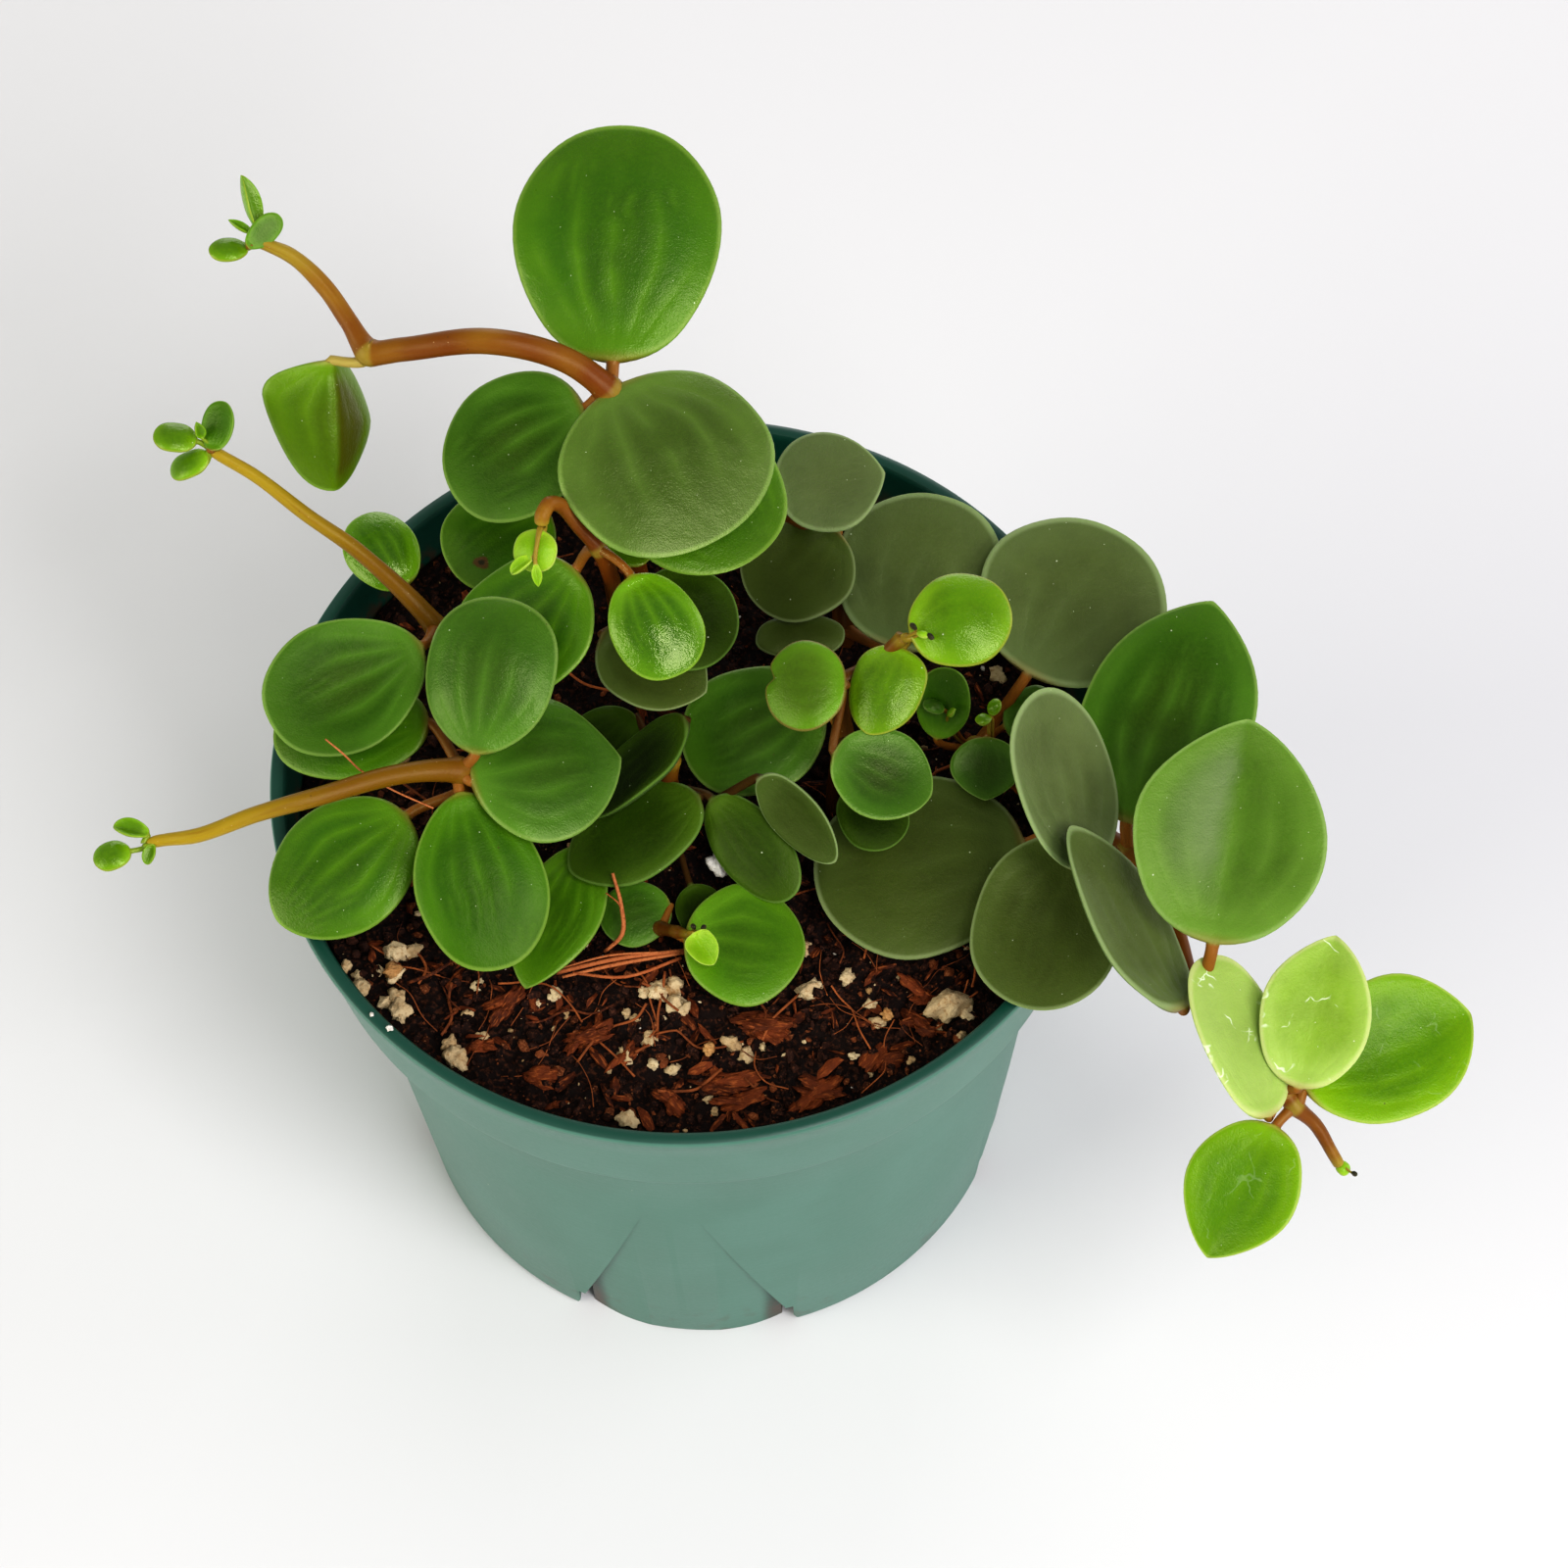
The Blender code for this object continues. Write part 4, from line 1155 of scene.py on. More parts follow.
    def make(self, name: str, leaf: Leaf, path: Path, seed: int) -> bpy.types.Object:
        """Copies the plain leaf and shapes it.

        Args:
            name: The piece's name.
            leaf: The leaf.
            path: The shoot's line.
            seed: What its small variations start from.

        Returns:
            The leaf.
        """
        draw = random.Random(seed)
        phase, tint = draw.uniform(0, math.tau), draw.random()
        piece = copy_piece(self.blank, name)
        mesh = piece.data
        width = leaf.size[1] * MM
        share = leaf.size[0] / self.usual_length
        stalk = self.stalk_radius * min(1.25, share ** 0.5)
        matrix = self.place(leaf)
        base_lift = self.lift(leaf, 0.0, -1.0, phase) * width / 2
        start = matrix @ Vector((0, 0, base_lift))
        line, side = self.stalk_line(leaf, path, start, matrix.col[1].to_3d())
        spots = []
        for vertex in mesh.vertices:
            if vertex.co.y >= -1.0001:
                vertex.co, spot = self.blade_point(vertex.co, leaf, matrix, stalk, phase)
            else:
                vertex.co, spot = self.stalk_point(vertex.co, line, side, matrix, stalk)
            spots.append(spot)
        layer = mesh.uv_layers.active or mesh.uv_layers.new()
        layer.name = LEAF_MAP
        for loop in mesh.loops:
            layer.data[loop.index].uv = spots[loop.vertex_index][:2]
        store(mesh, SIDE, [height for _, _, height in spots])
        store(mesh, TINT, [tint] * len(spots))
        store(mesh, VEINED, [min(share ** 1.5, 1.0)] * len(spots))
        close_up(piece)
        return piece


@dataclass(frozen=True)
class PotFinish:
    """The pot's plastic: satin teal, darker on its lip, with painted shade inside and in its recesses."""

    wall: Color = (0.048, 0.150, 0.104)
    # The dark tone is used on the lip and as painted shade inside and in the recesses.
    dark: Color = (0.003, 0.052, 0.032)
    haze: Color = (0.085, 0.200, 0.152)
    soiled: Color = (0.06, 0.035, 0.02)
    roughness: float = 0.42
    slot_place: float = math.radians(19)
    slot_core: float = math.radians(0.8)
    slot_fringe: float = math.radians(4.5)

    def material(self) -> bpy.types.Material:
        """Builds the plastic on the pot's own coordinates.

        Returns:
            The material.
        """
        g = Graph("pot_plastic")
        x, y, height = g.axes(g.place)
        flat = g.add("ShaderNodeVectorMath", {"operation": "MULTIPLY"}, {0: g.place, 1: (1.0, 1.0, 0.0)})
        radius = g.add("ShaderNodeVectorMath", {"operation": "LENGTH"}, {0: flat}, output="Value")
        slant = (Pot.rim_radius - Pot.collar_foot) / (Pot.collar_height - Pot.lip_height)
        outer = (height - (Pot.height - Pot.lip_height)) * slant + Pot.rim_radius
        inner = 1 - (radius - outer).rise(-1.1 * MM, -0.45 * MM)
        lip = height.rise(Pot.height - 0.75 * MM, Pot.height - 0.25 * MM)
        lip = lip * (1 - radius.rise(Pot.rim_radius + 0.1 * MM, Pot.rim_radius + 0.35 * MM))
        # Painted shade: the inner wall below the rim and the recessed panels take the dark tone.
        inside = inner * height.rise(Pot.height - 20 * MM, Pot.height - 17 * MM)
        past_wall = radius - (height * Pot.wall_slant + Pot.foot_radius)
        recess_shade = 1 - past_wall.rise(-1.3 * MM, -0.9 * MM)
        shade = inside.math("MAXIMUM", lip).math("MAXIMUM", recess_shade * (1 - height.rise(0.060, 0.064)))
        cloud = g.noise(14.0, 2.0)
        grain = g.noise(0.5, 3.0)
        turned = g.add("ShaderNodeCombineXYZ", inputs={"X": radius, "Z": height})
        rings = g.noise(0.8, 1.0, turned)
        skin = g.mix(cloud.rise(0.35, 0.7) * 0.5, self.wall, self.haze)
        skin = g.mix((grain - 0.3) * 0.3, skin, self.haze)
        skin = g.mix(shade, skin, self.dark)
        splash = (1 - height.rise(0.0, 0.014)) * g.noise(3.0, 4.0).rise(0.56, 0.7)
        skin = g.mix(splash * 0.35, skin, self.soiled)
        from_first = abs(y.math("ARCTAN2", x) - math.radians(Pot.first_recess))
        to_recess = from_first.math("PINGPONG", math.radians(180 / Pot.recesses))
        slot = 1 - abs(to_recess - self.slot_place).rise(self.slot_core, self.slot_fringe)
        deep = 1 - past_wall.rise(-1.0 * MM, -0.4 * MM)
        stain = slot * deep * (1 - height.rise(0.003, 0.011)) * g.noise(2.5, 3.0).rise(0.25, 0.5)
        skin = g.mix(stain * 0.9, skin, self.soiled)
        mud = inside * (1 - height.rise(0.0765, 0.0805)) * g.noise(1.6, 3.0).rise(0.4, 0.62)
        skin = g.mix(mud * 0.9, skin, self.soiled)
        skin = g.mix(g.specks(5.0, 0.18, 0.3) * 0.5, skin, POT_DUST)
        relief = grain * 0.5 + rings * 0.5
        return g.finish(
            Base_Color=skin, Roughness=self.roughness + (cloud - 0.5) * 0.12 + (grain - 0.5) * 0.1,
            Normal=g.bump(relief, 0.07, 0.35), Specular_IOR_Level=0.5)


@dataclass(frozen=True)
class CrumbFinish:
    """Loose matter of the potting mix, each lump a little different."""

    name: str
    dark: Color
    light: Color
    stain: Color
    grain: float = 0.4
    relief: float = 0.25
    roughness: float = 0.85
    gloss: float = 0.15
    fibrous: bool = False

    def material(self) -> bpy.types.Material:
        """Builds the matter on the piece's coordinates, with a tone for each lump.

        Returns:
            The material.
        """
        g = Graph(self.name)
        tone = g.attribute(TONE)
        if self.fibrous:
            stretched = {"X": g.attribute(ALONG) * 0.3, "Y": g.attribute(ACROSS), "Z": tone * 0.05}
            fibre = g.add("ShaderNodeCombineXYZ", inputs=stretched)
            grain = g.noise(self.grain, 4.0, fibre)
        else:
            grain = g.noise(self.grain, 4.0)
        patch = g.noise(self.grain * 4, 2.0)
        skin = g.mix(tone * 0.75 + (patch - 0.5), self.dark, self.light)
        skin = g.mix(grain.rise(0.5, 0.7) * 0.7, skin, self.stain)
        return g.finish(
            Base_Color=skin, Roughness=self.roughness + (patch - 0.5) * 0.2,
            Normal=g.bump(grain, self.relief, 0.9), Specular_IOR_Level=self.gloss)


TONE = "tone"
ALONG = "along"
ACROSS = "across"
EARTH = CrumbFinish("earth", (0.002, 0.0008, 0.0005), (0.014, 0.005, 0.003), (0.07, 0.022, 0.009), 0.6, 0.4)
PEAT = CrumbFinish("peat", (0.003, 0.001, 0.0008), (0.040, 0.014, 0.008), (0.11, 0.038, 0.018), 0.3, 0.2)
RUSSET = CrumbFinish("russet", (0.03, 0.007, 0.002), (0.22, 0.060, 0.018), (0.32, 0.12, 0.045), 0.3, 0.2)
BARK = CrumbFinish(
    "bark", (0.020, 0.004, 0.001), (0.19, 0.040, 0.009), (0.36, 0.095, 0.022), 0.3, 0.4, 0.7, fibrous=True)
PERLITE = CrumbFinish("perlite", (0.34, 0.20, 0.08), (0.74, 0.60, 0.36), (0.32, 0.17, 0.06), 0.5, 0.4)
AMBER = CrumbFinish("amber", (0.26, 0.10, 0.025), (0.60, 0.34, 0.13), (0.34, 0.14, 0.035), 0.6, 0.5, 0.5)
CHALK = CrumbFinish("chalk", (0.50, 0.44, 0.36), (0.85, 0.84, 0.80), (0.60, 0.52, 0.42), 0.4, 0.3)
COIR = CrumbFinish("coir", (0.05, 0.012, 0.004), (0.46, 0.13, 0.035), (0.22, 0.055, 0.014), 0.35, 0.12, 0.7)
TOW = CrumbFinish("tow", (0.36, 0.095, 0.028), (0.52, 0.18, 0.062), (0.25, 0.06, 0.018), 0.35, 0.15, 0.7)


@dataclass(frozen=True)
class Lump:
    """One lump of the mix: its middle, its half sizes, its tone and the way that it points."""

    middle: Vector
    sizes: Vector
    tone: float
    heading: float | None = None


@dataclass
class Tube:
    """A tube of changing radius along a path, closed at both ends."""

    path: Path
    sides: int = 18

    def make(self, name: str) -> bpy.types.Object:
        """Rolls a grid up around the path and merges its seam and ends.

        Args:
            name: The piece's name.

        Returns:
            The tube, with its map: around in whole turns, and along in centimetres.
        """
        rings = len(self.path.places)
        clear_selection()
        bpy.ops.mesh.primitive_grid_add(x_subdivisions=self.sides, y_subdivisions=rings + 1, size=2)
        piece = bpy.context.object
        piece.name = piece.data.name = name
        mesh = piece.data
        frames = self.frames()
        layer = mesh.uv_layers.active
        layer.name = STEM_MAP
        places = [vertex.co.copy() for vertex in mesh.vertices]
        rows = [round((place.y + 1) / 2 * (rings + 1)) for place in places]
        for loop in mesh.loops:
            index = loop.vertex_index
            row = min(max(rows[index] - 1, 0), rings - 1)
            layer.data[loop.index].uv = ((places[index].x + 1) / 2, self.path.lengths[row] * 100)
        for vertex, place, row in zip(mesh.vertices, places, rows):
            closed = row in (0, rings + 1)
            row = min(max(row - 1, 0), rings - 1)
            right, up = frames[row]
            angle = (place.x + 1) * math.pi
            radius = 0.0 if closed else self.path.radii[row]
            vertex.co = self.path.places[row] + (right * math.cos(angle) + up * math.sin(angle)) * radius
        close_up(piece, merge=True)
        return piece

    def frames(self) -> list[tuple[Vector, Vector]]:
        """Two directions square to the path at each of its places, carried on without twist.

        Returns:
            The pairs of directions.
        """
        places = self.path.places
        right = Vector((1, 0, 0))
        frames = []
        for index in range(len(places)):
            ahead = (places[min(index + 1, len(places) - 1)] - places[max(index - 1, 0)]).normalized()
            right = right - ahead * right.dot(ahead)
            right = right.normalized() if right.length > 1e-3 else ahead.orthogonal().normalized()
            frames.append((right, ahead.cross(right)))
        return frames


@dataclass
class Plant:
    """The whole plant: nine shoots with their leaves and small growth."""

    joint_swell: float = 0.2
    joint_reach: float = 1.0 * MM

    def build(self) -> None:
        """Makes every stem and leaf."""
        self.barks = {finish.name: finish.material() for finish in (ORANGE_BARK, OLIVE_BARK, BROWN_BARK)}
        self.leaves = LeafMaker()
        for number, shoot in enumerate(SHOOTS):
            self.grow(shoot, 100 * number)
        self.leaves.drop_blank()

    def grow(self, shoot: Shoot, seed: int) -> None:
        """Makes a shoot.

        Args:
            shoot: The shoot.
            seed: Where its leaves' small variations start.
        """
        path = Path(shoot.points)
        for count, leaf in enumerate(shoot.leaves + shoot.growth, start=1):
            finish = leaf.finish or shoot.finish
            growth = count > len(shoot.leaves)
            number = count - len(shoot.leaves) if growth else count
            name = f"{shoot.name}_{'bud' if growth else 'leaf'}_{number}"
            piece = self.leaves.make(f"{name}_skin", leaf, path, seed + count)
            nodes = () if growth else (name,)
            place_piece(piece, self.leaves.material(finish), nodes)
        self.grow_stem(shoot, path)

    def grow_stem(self, shoot: Shoot, path: Path) -> None:
        """Makes a shoot's stem, swollen and ringed where its leaves join.

        Args:
            shoot: The shoot.
            path: Its line.
        """
        joints = sorted({leaf.node for leaf in shoot.leaves})
        spots = [path.lengths[path.knots[joint]] for joint in joints]
        rings = [max((math.exp(-((length - spot) / self.joint_reach) ** 2) for spot in spots), default=0.0)
                 for length in path.lengths]
        path.radii = [radius * (1 + self.joint_swell * ring) for radius, ring in zip(path.radii, rings)]
        ends = [smooth_step(path.lengths[-1] - length, -0.2 * MM, 0.6 * MM) for length in path.lengths]
        path.radii = [radius * end for radius, end in zip(path.radii, ends)]
        piece = Tube(path).make(f"{shoot.name}_stem_skin")
        total = path.lengths[-1]
        fresh, ringed = [], []
        for vertex in piece.data.vertices:
            near = min(range(len(path.places)), key=lambda i: (path.places[i] - vertex.co).length_squared)
            fresh.append(smooth_step(total - path.lengths[near], shoot.ripening * MM, 0.0))
            ringed.append(rings[near])
        store(piece.data, FRESH, fresh)
        store(piece.data, RING, ringed)
        place_piece(piece, self.barks[shoot.bark.name], (f"{shoot.name}_stem",))


@dataclass
class Pot:
    """The nursery pot: turned wall and collar, four arched recesses and their slots."""

    height = 84 * MM
    rim_radius = 52.6 * MM
    lip_height = 1.2 * MM
    collar_height = 17 * MM
    collar_foot = 50.2 * MM
    foot_radius = 40.7 * MM
    wall_slant = (46.6 - 40.7) / 67
    steps: int = 216
    recesses: int = 4
    first_recess: float = -97.0
    finish: PotFinish = PotFinish()

    def wall_radius(self, height: float, inset: float = 0.0) -> float:
        """The wall's outer radius at a height, less an inset, all in mm."""
        return (self.foot_radius + self.wall_slant * (height * MM)) / MM - inset

    def collar_radius(self, height: float, inset: float = 0.0) -> float:
        """The collar's outer radius at a height, less an inset, all in mm."""
        share = (self.height - self.lip_height - height * MM) / (self.collar_height - self.lip_height)
        return (self.rim_radius + (self.collar_foot - self.rim_radius) * share) / MM - inset

    def profile(self) -> list[tuple[float, float]]:
        """The pot's section, from the middle of its floor, over the lip, to the middle of its underside.

        Returns:
            Radius and height of each point in mm.
        """
        wall, collar = self.wall_radius, self.collar_radius
        thin, thick = 1.5, 3.4
        inside = [
            (wall(0, thick) - 1.2, 1.8), (wall(0, thick) - 0.3, 2.1), (wall(3, thick), 3.2),
            (wall(18, thick), 18), (wall(20, thin), 20), (wall(66, thin), 66), (wall(67, 1.2), 67),
            (collar(68.5, 1.8), 68.3), (collar(69.2, thin), 69.2), (collar(76, thin), 76),
            (collar(82, thin), 82), (collar(82.8, 1.6), 83),
        ]
        lip = [
            (51.15, 83.55), (51.35, 83.85), (51.65, 84), (52.2, 84), (52.6, 83.95), (52.85, 83.8),
            (53, 83.55), (53, 83), (52.9, 82.75), (52.7, 82.6),
        ]
        outside = [
            (collar(82.3), 82.3), (collar(78), 78), (collar(72), 72), (collar(67.9), 67.9), (50.25, 67.4),
            (50.05, 67.1), (49.7, 67), (47.3, 66.75), (46.75, 66.5), (wall(65.9), 65.9), (wall(48), 48),
            (wall(24), 24), (wall(1.2), 1.2), (wall(0.4, 0.2), 0.3), (40, 0),
        ]
        return inside + lip + outside

    def build(self) -> None:
        """Turns the pot, cuts its recesses and slots, and dresses it."""
        section = self.profile()
        clear_selection()
        first_radius, first_height = section[0]
        bpy.ops.mesh.primitive_circle_add(
            vertices=self.steps, radius=first_radius * MM, location=(0, 0, first_height * MM))
        self.piece = bpy.context.object
        bpy.ops.object.transform_apply(location=True)
        self.piece.name = self.piece.data.name = "pot_skin"
        bpy.ops.object.mode_set(mode="EDIT")
        bpy.ops.mesh.select_all(action="SELECT")
        bpy.ops.mesh.select_mode(type="VERT")
        for before, after in zip(section, section[1:]):
            scale = after[0] / before[0]
            bpy.ops.mesh.extrude_region_move(
                TRANSFORM_OT_translate={"value": (0, 0, (after[1] - before[1]) * MM)})
            bpy.ops.transform.resize(value=(scale, scale, 1), center_override=(0, 0, after[1] * MM))
        bpy.ops.mesh.edge_face_add()
        bpy.ops.object.mode_set(mode="OBJECT")
        floor_height = first_height * MM
        floor_reach = (first_radius + 0.01) * MM
        pick_points(self.piece, lambda p: abs(p.z - floor_height) < 1e-6 and p.xy.length < floor_reach)
        bpy.ops.mesh.edge_face_add()
        bpy.ops.mesh.select_all(action="SELECT")
        bpy.ops.mesh.normals_make_consistent(inside=False)
        bpy.ops.object.mode_set(mode="OBJECT")
        for number in range(self.recesses):
            turn = math.radians(self.first_recess + number * 360 / self.recesses)
            carve(self.piece, self.recess_cutter(turn))
            for hand in (-1, 1):
                carve(self.piece, self.slot_cutter(turn, hand))
        make_active(self.piece)
        bpy.ops.object.shade_smooth_by_angle(angle=math.radians(28))
        place_piece(self.piece, self.finish.material(), ("pot",))

    def recess_cutter(self, turn: float) -> bpy.types.Object:
        """A tall wedge whose inner face is the recess's curved panel.

        Args:
            turn: The recess's direction.

        Returns:
            The cutter.
        """
        half, top_half, top, reach, past = 15.6 * MM, 3.5 * MM, 45 * MM, 14 * MM, 4 * MM
        panel = 24 * MM
        middle = self.foot_radius + past - reach / 2
        clear_selection()
        bpy.ops.mesh.primitive_cube_add(size=1, location=(0, 0, 0))
        wedge = bpy.context.object
        for vertex in wedge.data.vertices:
            upper = vertex.co.z > 0
            vertex.co = Vector((
                math.copysign(top_half if upper else half, vertex.co.x),
                middle + math.copysign(reach / 2, vertex.co.y) + (self.wall_slant * top if upper else 0.0),
                top if upper else -1 * MM))
        clear_selection()
        bpy.ops.mesh.primitive_cone_add(
            vertices=192, radius1=panel - self.wall_slant * 2 * MM,
            radius2=panel + self.wall_slant * (top + 2 * MM), depth=top + 4 * MM,
            location=(0, self.foot_radius - panel, top / 2))
        carve(wedge, bpy.context.object)
        wedge.data.transform(Matrix.Rotation(turn - math.pi / 2, 4, "Z"))
        return wedge

    def slot_cutter(self, turn: float, hand: int) -> bpy.types.Object:
        """The slot at one side of a recess.

        Args:
            turn: The recess's direction.
            hand: Which side, -1 or 1.

        Returns:
            The cutter.
        """
        clear_selection()
        half_recess, width, depth, height = 15.6, 1.8, 9, 7
        bpy.ops.mesh.primitive_cube_add(
            size=1, scale=(width * MM, depth * MM, height * MM),
            location=(hand * (half_recess - width) * MM, self.foot_radius - 4 * MM, 2.5 * MM))
        slot = bpy.context.object
        bpy.ops.object.transform_apply(location=True, scale=True)
        slot.data.transform(Matrix.Rotation(turn - math.pi / 2, 4, "Z"))
        return slot


@dataclass
class Soil:
    """The potting mix: an uneven surface, crumbs, bark, perlite and coir strands."""

    level: float = 76.5 * MM
    edge: float = 49.8 * MM
    mound: float = 1.0 * MM
    cells: int = 168
    seed: int = 7
    reach: float = 0.95
    crumb_reach: float = 0.985
    strand_reach: float = 0.96
    # Behind this line, under the leaves, this share of the light bits is left out: painted shade.
    open_front: float = -20 * MM
    shade_skip_share: float = 0.65
    shreds: int = 620
    splinters: int = 5
    loose_perlite: int = 90
    loose_strands: int = 260

    def build(self) -> None:
        """Makes the body of the mix and everything that lies on it."""
        self.draw = random.Random(self.seed)
        self.make_body()
        for finish, count, sizes, flatness in (
            (PEAT, 3600, (0.25, 1.0), 0.75), (RUSSET, 1500, (0.15, 0.9), 0.5),
            (PERLITE, 420, (0.12, 0.55), 0.85), (CHALK, 90, (0.15, 0.4), 0.85),
        ):
            self.make_crumbs(finish, count, sizes, flatness)
        self.make_bark()
        self.make_lumps()
        self.make_strands()

    def height(self, x: float, y: float) -> float:
        """The surface's height at a place.

        Args:
            x: The place's X.
            y: Its Y.

        Returns:
            The height.
        """
        share = min(math.hypot(x, y) / self.edge, 1.0)
        place = Vector((x, y, 0)) / MM
        swell = noise.noise(place / 11) * 1.1 + noise.noise(place / 4.2) * 0.8
        rough = noise.noise(place / 1.6) * 0.8 + noise.noise(place / 0.8) * 0.45
        held = 1 - smooth_step(share, 0.93, 1.0) * 0.6
        return self.level + self.mound * (1 - share * share) + (swell + rough) * held * MM

    def make_body(self) -> None:
        """Makes the body: a grid drawn out to a disc, its rim extruded down along the pot, and closed."""
        clear_selection()
        bpy.ops.mesh.primitive_grid_add(x_subdivisions=self.cells, y_subdivisions=self.cells, size=2)
        piece = bpy.context.object
        piece.name = piece.data.name = "soil_body"
        rim = []
        for vertex in piece.data.vertices:
            x, y = vertex.co.x, vertex.co.y
            rim.append(max(abs(x), abs(y)) > 1 - 1e-6)
            across = x * math.sqrt(1 - y * y / 2) * self.edge
            along = y * math.sqrt(1 - x * x / 2) * self.edge
            vertex.co = (across, along, self.height(across, along))
        rings = ((49.5, 73), (48.4, 68.6), (44.7, 66.8), (40.6, 20.5), (38.6, 17.6), (36.8, 2.3))
        pick_points(piece, lambda p: p.xy.length > self.edge * (1 - 1e-5))
        radius = self.edge / MM
        for next_radius, level in rings:
            bpy.ops.mesh.extrude_region_move()
            scale = next_radius / radius
            bpy.ops.transform.resize(value=(scale, scale, 0), center_override=(0, 0, level * MM))
            radius = next_radius
        bpy.ops.mesh.edge_face_add()
        close_up(piece)
        store(piece.data, TONE, [0.5] * len(piece.data.vertices))
        place_piece(piece, EARTH.material(), ("soil",))

    def lump_blank(self, fineness: int) -> tuple[list[Vector], list[tuple[int, ...]]]:
        """One lump to copy.

        Args:
            fineness: How often its faces are divided.

        Returns:
            Its points and faces.
        """
        clear_selection()
        bpy.ops.mesh.primitive_ico_sphere_add(subdivisions=fineness, radius=1)
        blank = bpy.context.object
        points = [vertex.co.copy() for vertex in blank.data.vertices]
        faces = [tuple(face.vertices) for face in blank.data.polygons]
        bpy.data.objects.remove(blank, do_unlink=True)
        return points, faces

    def make_heap(self, name: str, finish: CrumbFinish, lumps: Sequence[Lump], fineness: int = 1) -> None:
        """Makes one piece of many lumps.

        Args:
            name: The piece's name.
            finish: Its matter.
            lumps: The lumps.
            fineness: How often their faces are divided.
        """
        blank_points, blank_faces = self.lump_blank(fineness)
        points: list[Vector] = []
        faces: list[tuple[int, ...]] = []
        tones: list[float] = []
        alongs: list[float] = []
        acrosses: list[float] = []
        for lump in lumps:
            heading = self.draw.uniform(0, math.tau) if lump.heading is None else lump.heading
            turn = Euler((self.draw.uniform(-0.5, 0.5), self.draw.uniform(-0.3, 0.3), heading)).to_matrix()
            shift = Vector([self.draw.uniform(0, 50) for _ in range(3)])
            start = len(points)
            for point in blank_points:
                bulge = 1 + 0.6 * noise.noise(point * 1.3 + shift)
                if fineness > 2:
                    bulge += 0.4 * noise.noise(point * 2.7 + shift) + 0.16 * noise.noise(point * 6 + shift)
                body = Vector([point[i] * lump.sizes[i] * bulge for i in range(3)])
                points.append(lump.middle + turn @ body)
                alongs.append(body.x)
                acrosses.append(body.y)
            faces += [tuple(start + corner for corner in face) for face in blank_faces]
            tones += [lump.tone] * len(blank_points)
        mesh = bpy.data.meshes.new(name)
        mesh.from_pydata(points, [], faces)
        piece = bpy.data.objects.new(name, mesh)
        bpy.context.scene.collection.objects.link(piece)
        store(mesh, TONE, tones)
        store(mesh, ALONG, alongs)
        store(mesh, ACROSS, acrosses)
        make_active(piece)
        if fineness > 2:
            bpy.ops.object.shade_smooth()
        else:
            bpy.ops.object.shade_smooth_by_angle(angle=math.radians(50))
        place_piece(piece, finish.material())

    def spot(self, reach: float) -> tuple[float, float]:
        """Picks a random place on the surface.

        Args:
            reach: How far out it may lie, as a share of the surface's radius.

        Returns:
            Its X and Y.
        """
        radius = self.edge * reach * math.sqrt(self.draw.random())
        angle = self.draw.uniform(0, math.tau)
        return radius * math.cos(angle), radius * math.sin(angle)

    def skipped_for_shade(self, y: float) -> bool:
        """Whether a light bit is left out here: most under the leaves are, as painted shade."""
        return y > self.open_front and self.draw.random() < self.shade_skip_share

    def make_crumbs(
        self, finish: CrumbFinish, count: int, sizes: tuple[float, float], flatness: float,
    ) -> None:
        """Scatters small crumbs.

        Args:
            finish: Their matter.
            count: How many.
            sizes: The least and the most half size in mm.
            flatness: Their height as a share of their width.
        """
        lumps = []
        for _ in range(count):
            x, y = self.spot(self.crumb_reach)
            if finish is not PEAT and self.skipped_for_shade(y):
                continue
            size = (sizes[0] + (sizes[1] - sizes[0]) * self.draw.random() ** 2.5) * MM
            size = min(size, self.edge + 0.2 * MM - math.hypot(x, y) + 0.3 * MM)
            middle = Vector((x, y, self.height(x, y) + size * 0.25))
            shape = Vector((size, size * self.draw.uniform(0.5, 0.9), size * flatness))
            lumps.append(Lump(middle, shape, self.draw.random()))
        self.make_heap(f"{finish.name}_crumbs", finish, lumps)

    def make_bark(self) -> None:
        """Lays torn bark: shreds by the hundred, and larger pieces of several splinters each."""
        shreds = []
        for _ in range(self.shreds):
            x, y = self.spot(self.reach)
            if self.skipped_for_shade(y):
                continue
            length = self.draw.uniform(0.5, 2.4) * MM
            width = length * self.draw.uniform(0.15, 0.45)
            middle = Vector((x, y, self.height(x, y) + 0.2 * MM))
            shreds.append(Lump(middle, Vector((length, width, min(width, 0.35 * MM))), self.draw.random()))
        self.make_heap("bark_shreds", BARK, shreds, fineness=1)
        placed = (
            (7.5, -34.5, 5.2, 2.2, -0.2), (22, -38.5, 4.6, 2.2, 0.5), (3, -42.5, 5.5, 2.2, 0.1),
            (-13.5, -34.5, 4.6, 1.5, 0.5), (27, -34.5, 3.4, 1.4, -0.3), (-4, -43.5, 3.5, 1.4, -0.4),
            (-20, -39, 3.4, 1.3, -0.6), (13.5, -42.5, 5, 1.8, 0.2), (-24, -29.5, 3.6, 1.3, 0.7),
            (-9, -37.5, 3, 1.1, 0.9), (26.5, -29.5, 2.8, 1.0, -0.4), (-27, -35, 2.6, 1.0, 0.2),
        )
        splinters = []
        for x, y, length, width, heading in placed:
            for _ in range(self.splinters):
                side = self.draw.uniform(-0.7, 0.7) * width
                shift = self.draw.uniform(-0.35, 0.35) * length
                here_x = (x + shift * math.cos(heading) - side * math.sin(heading)) * MM
                here_y = (y + shift * math.sin(heading) + side * math.cos(heading)) * MM
                long, wide = length * self.draw.uniform(0.3, 0.65), width * self.draw.uniform(0.35, 0.75)
                shape = Vector((long, wide, 0.35))
                rise = self.draw.uniform(0.2, 0.8) * MM
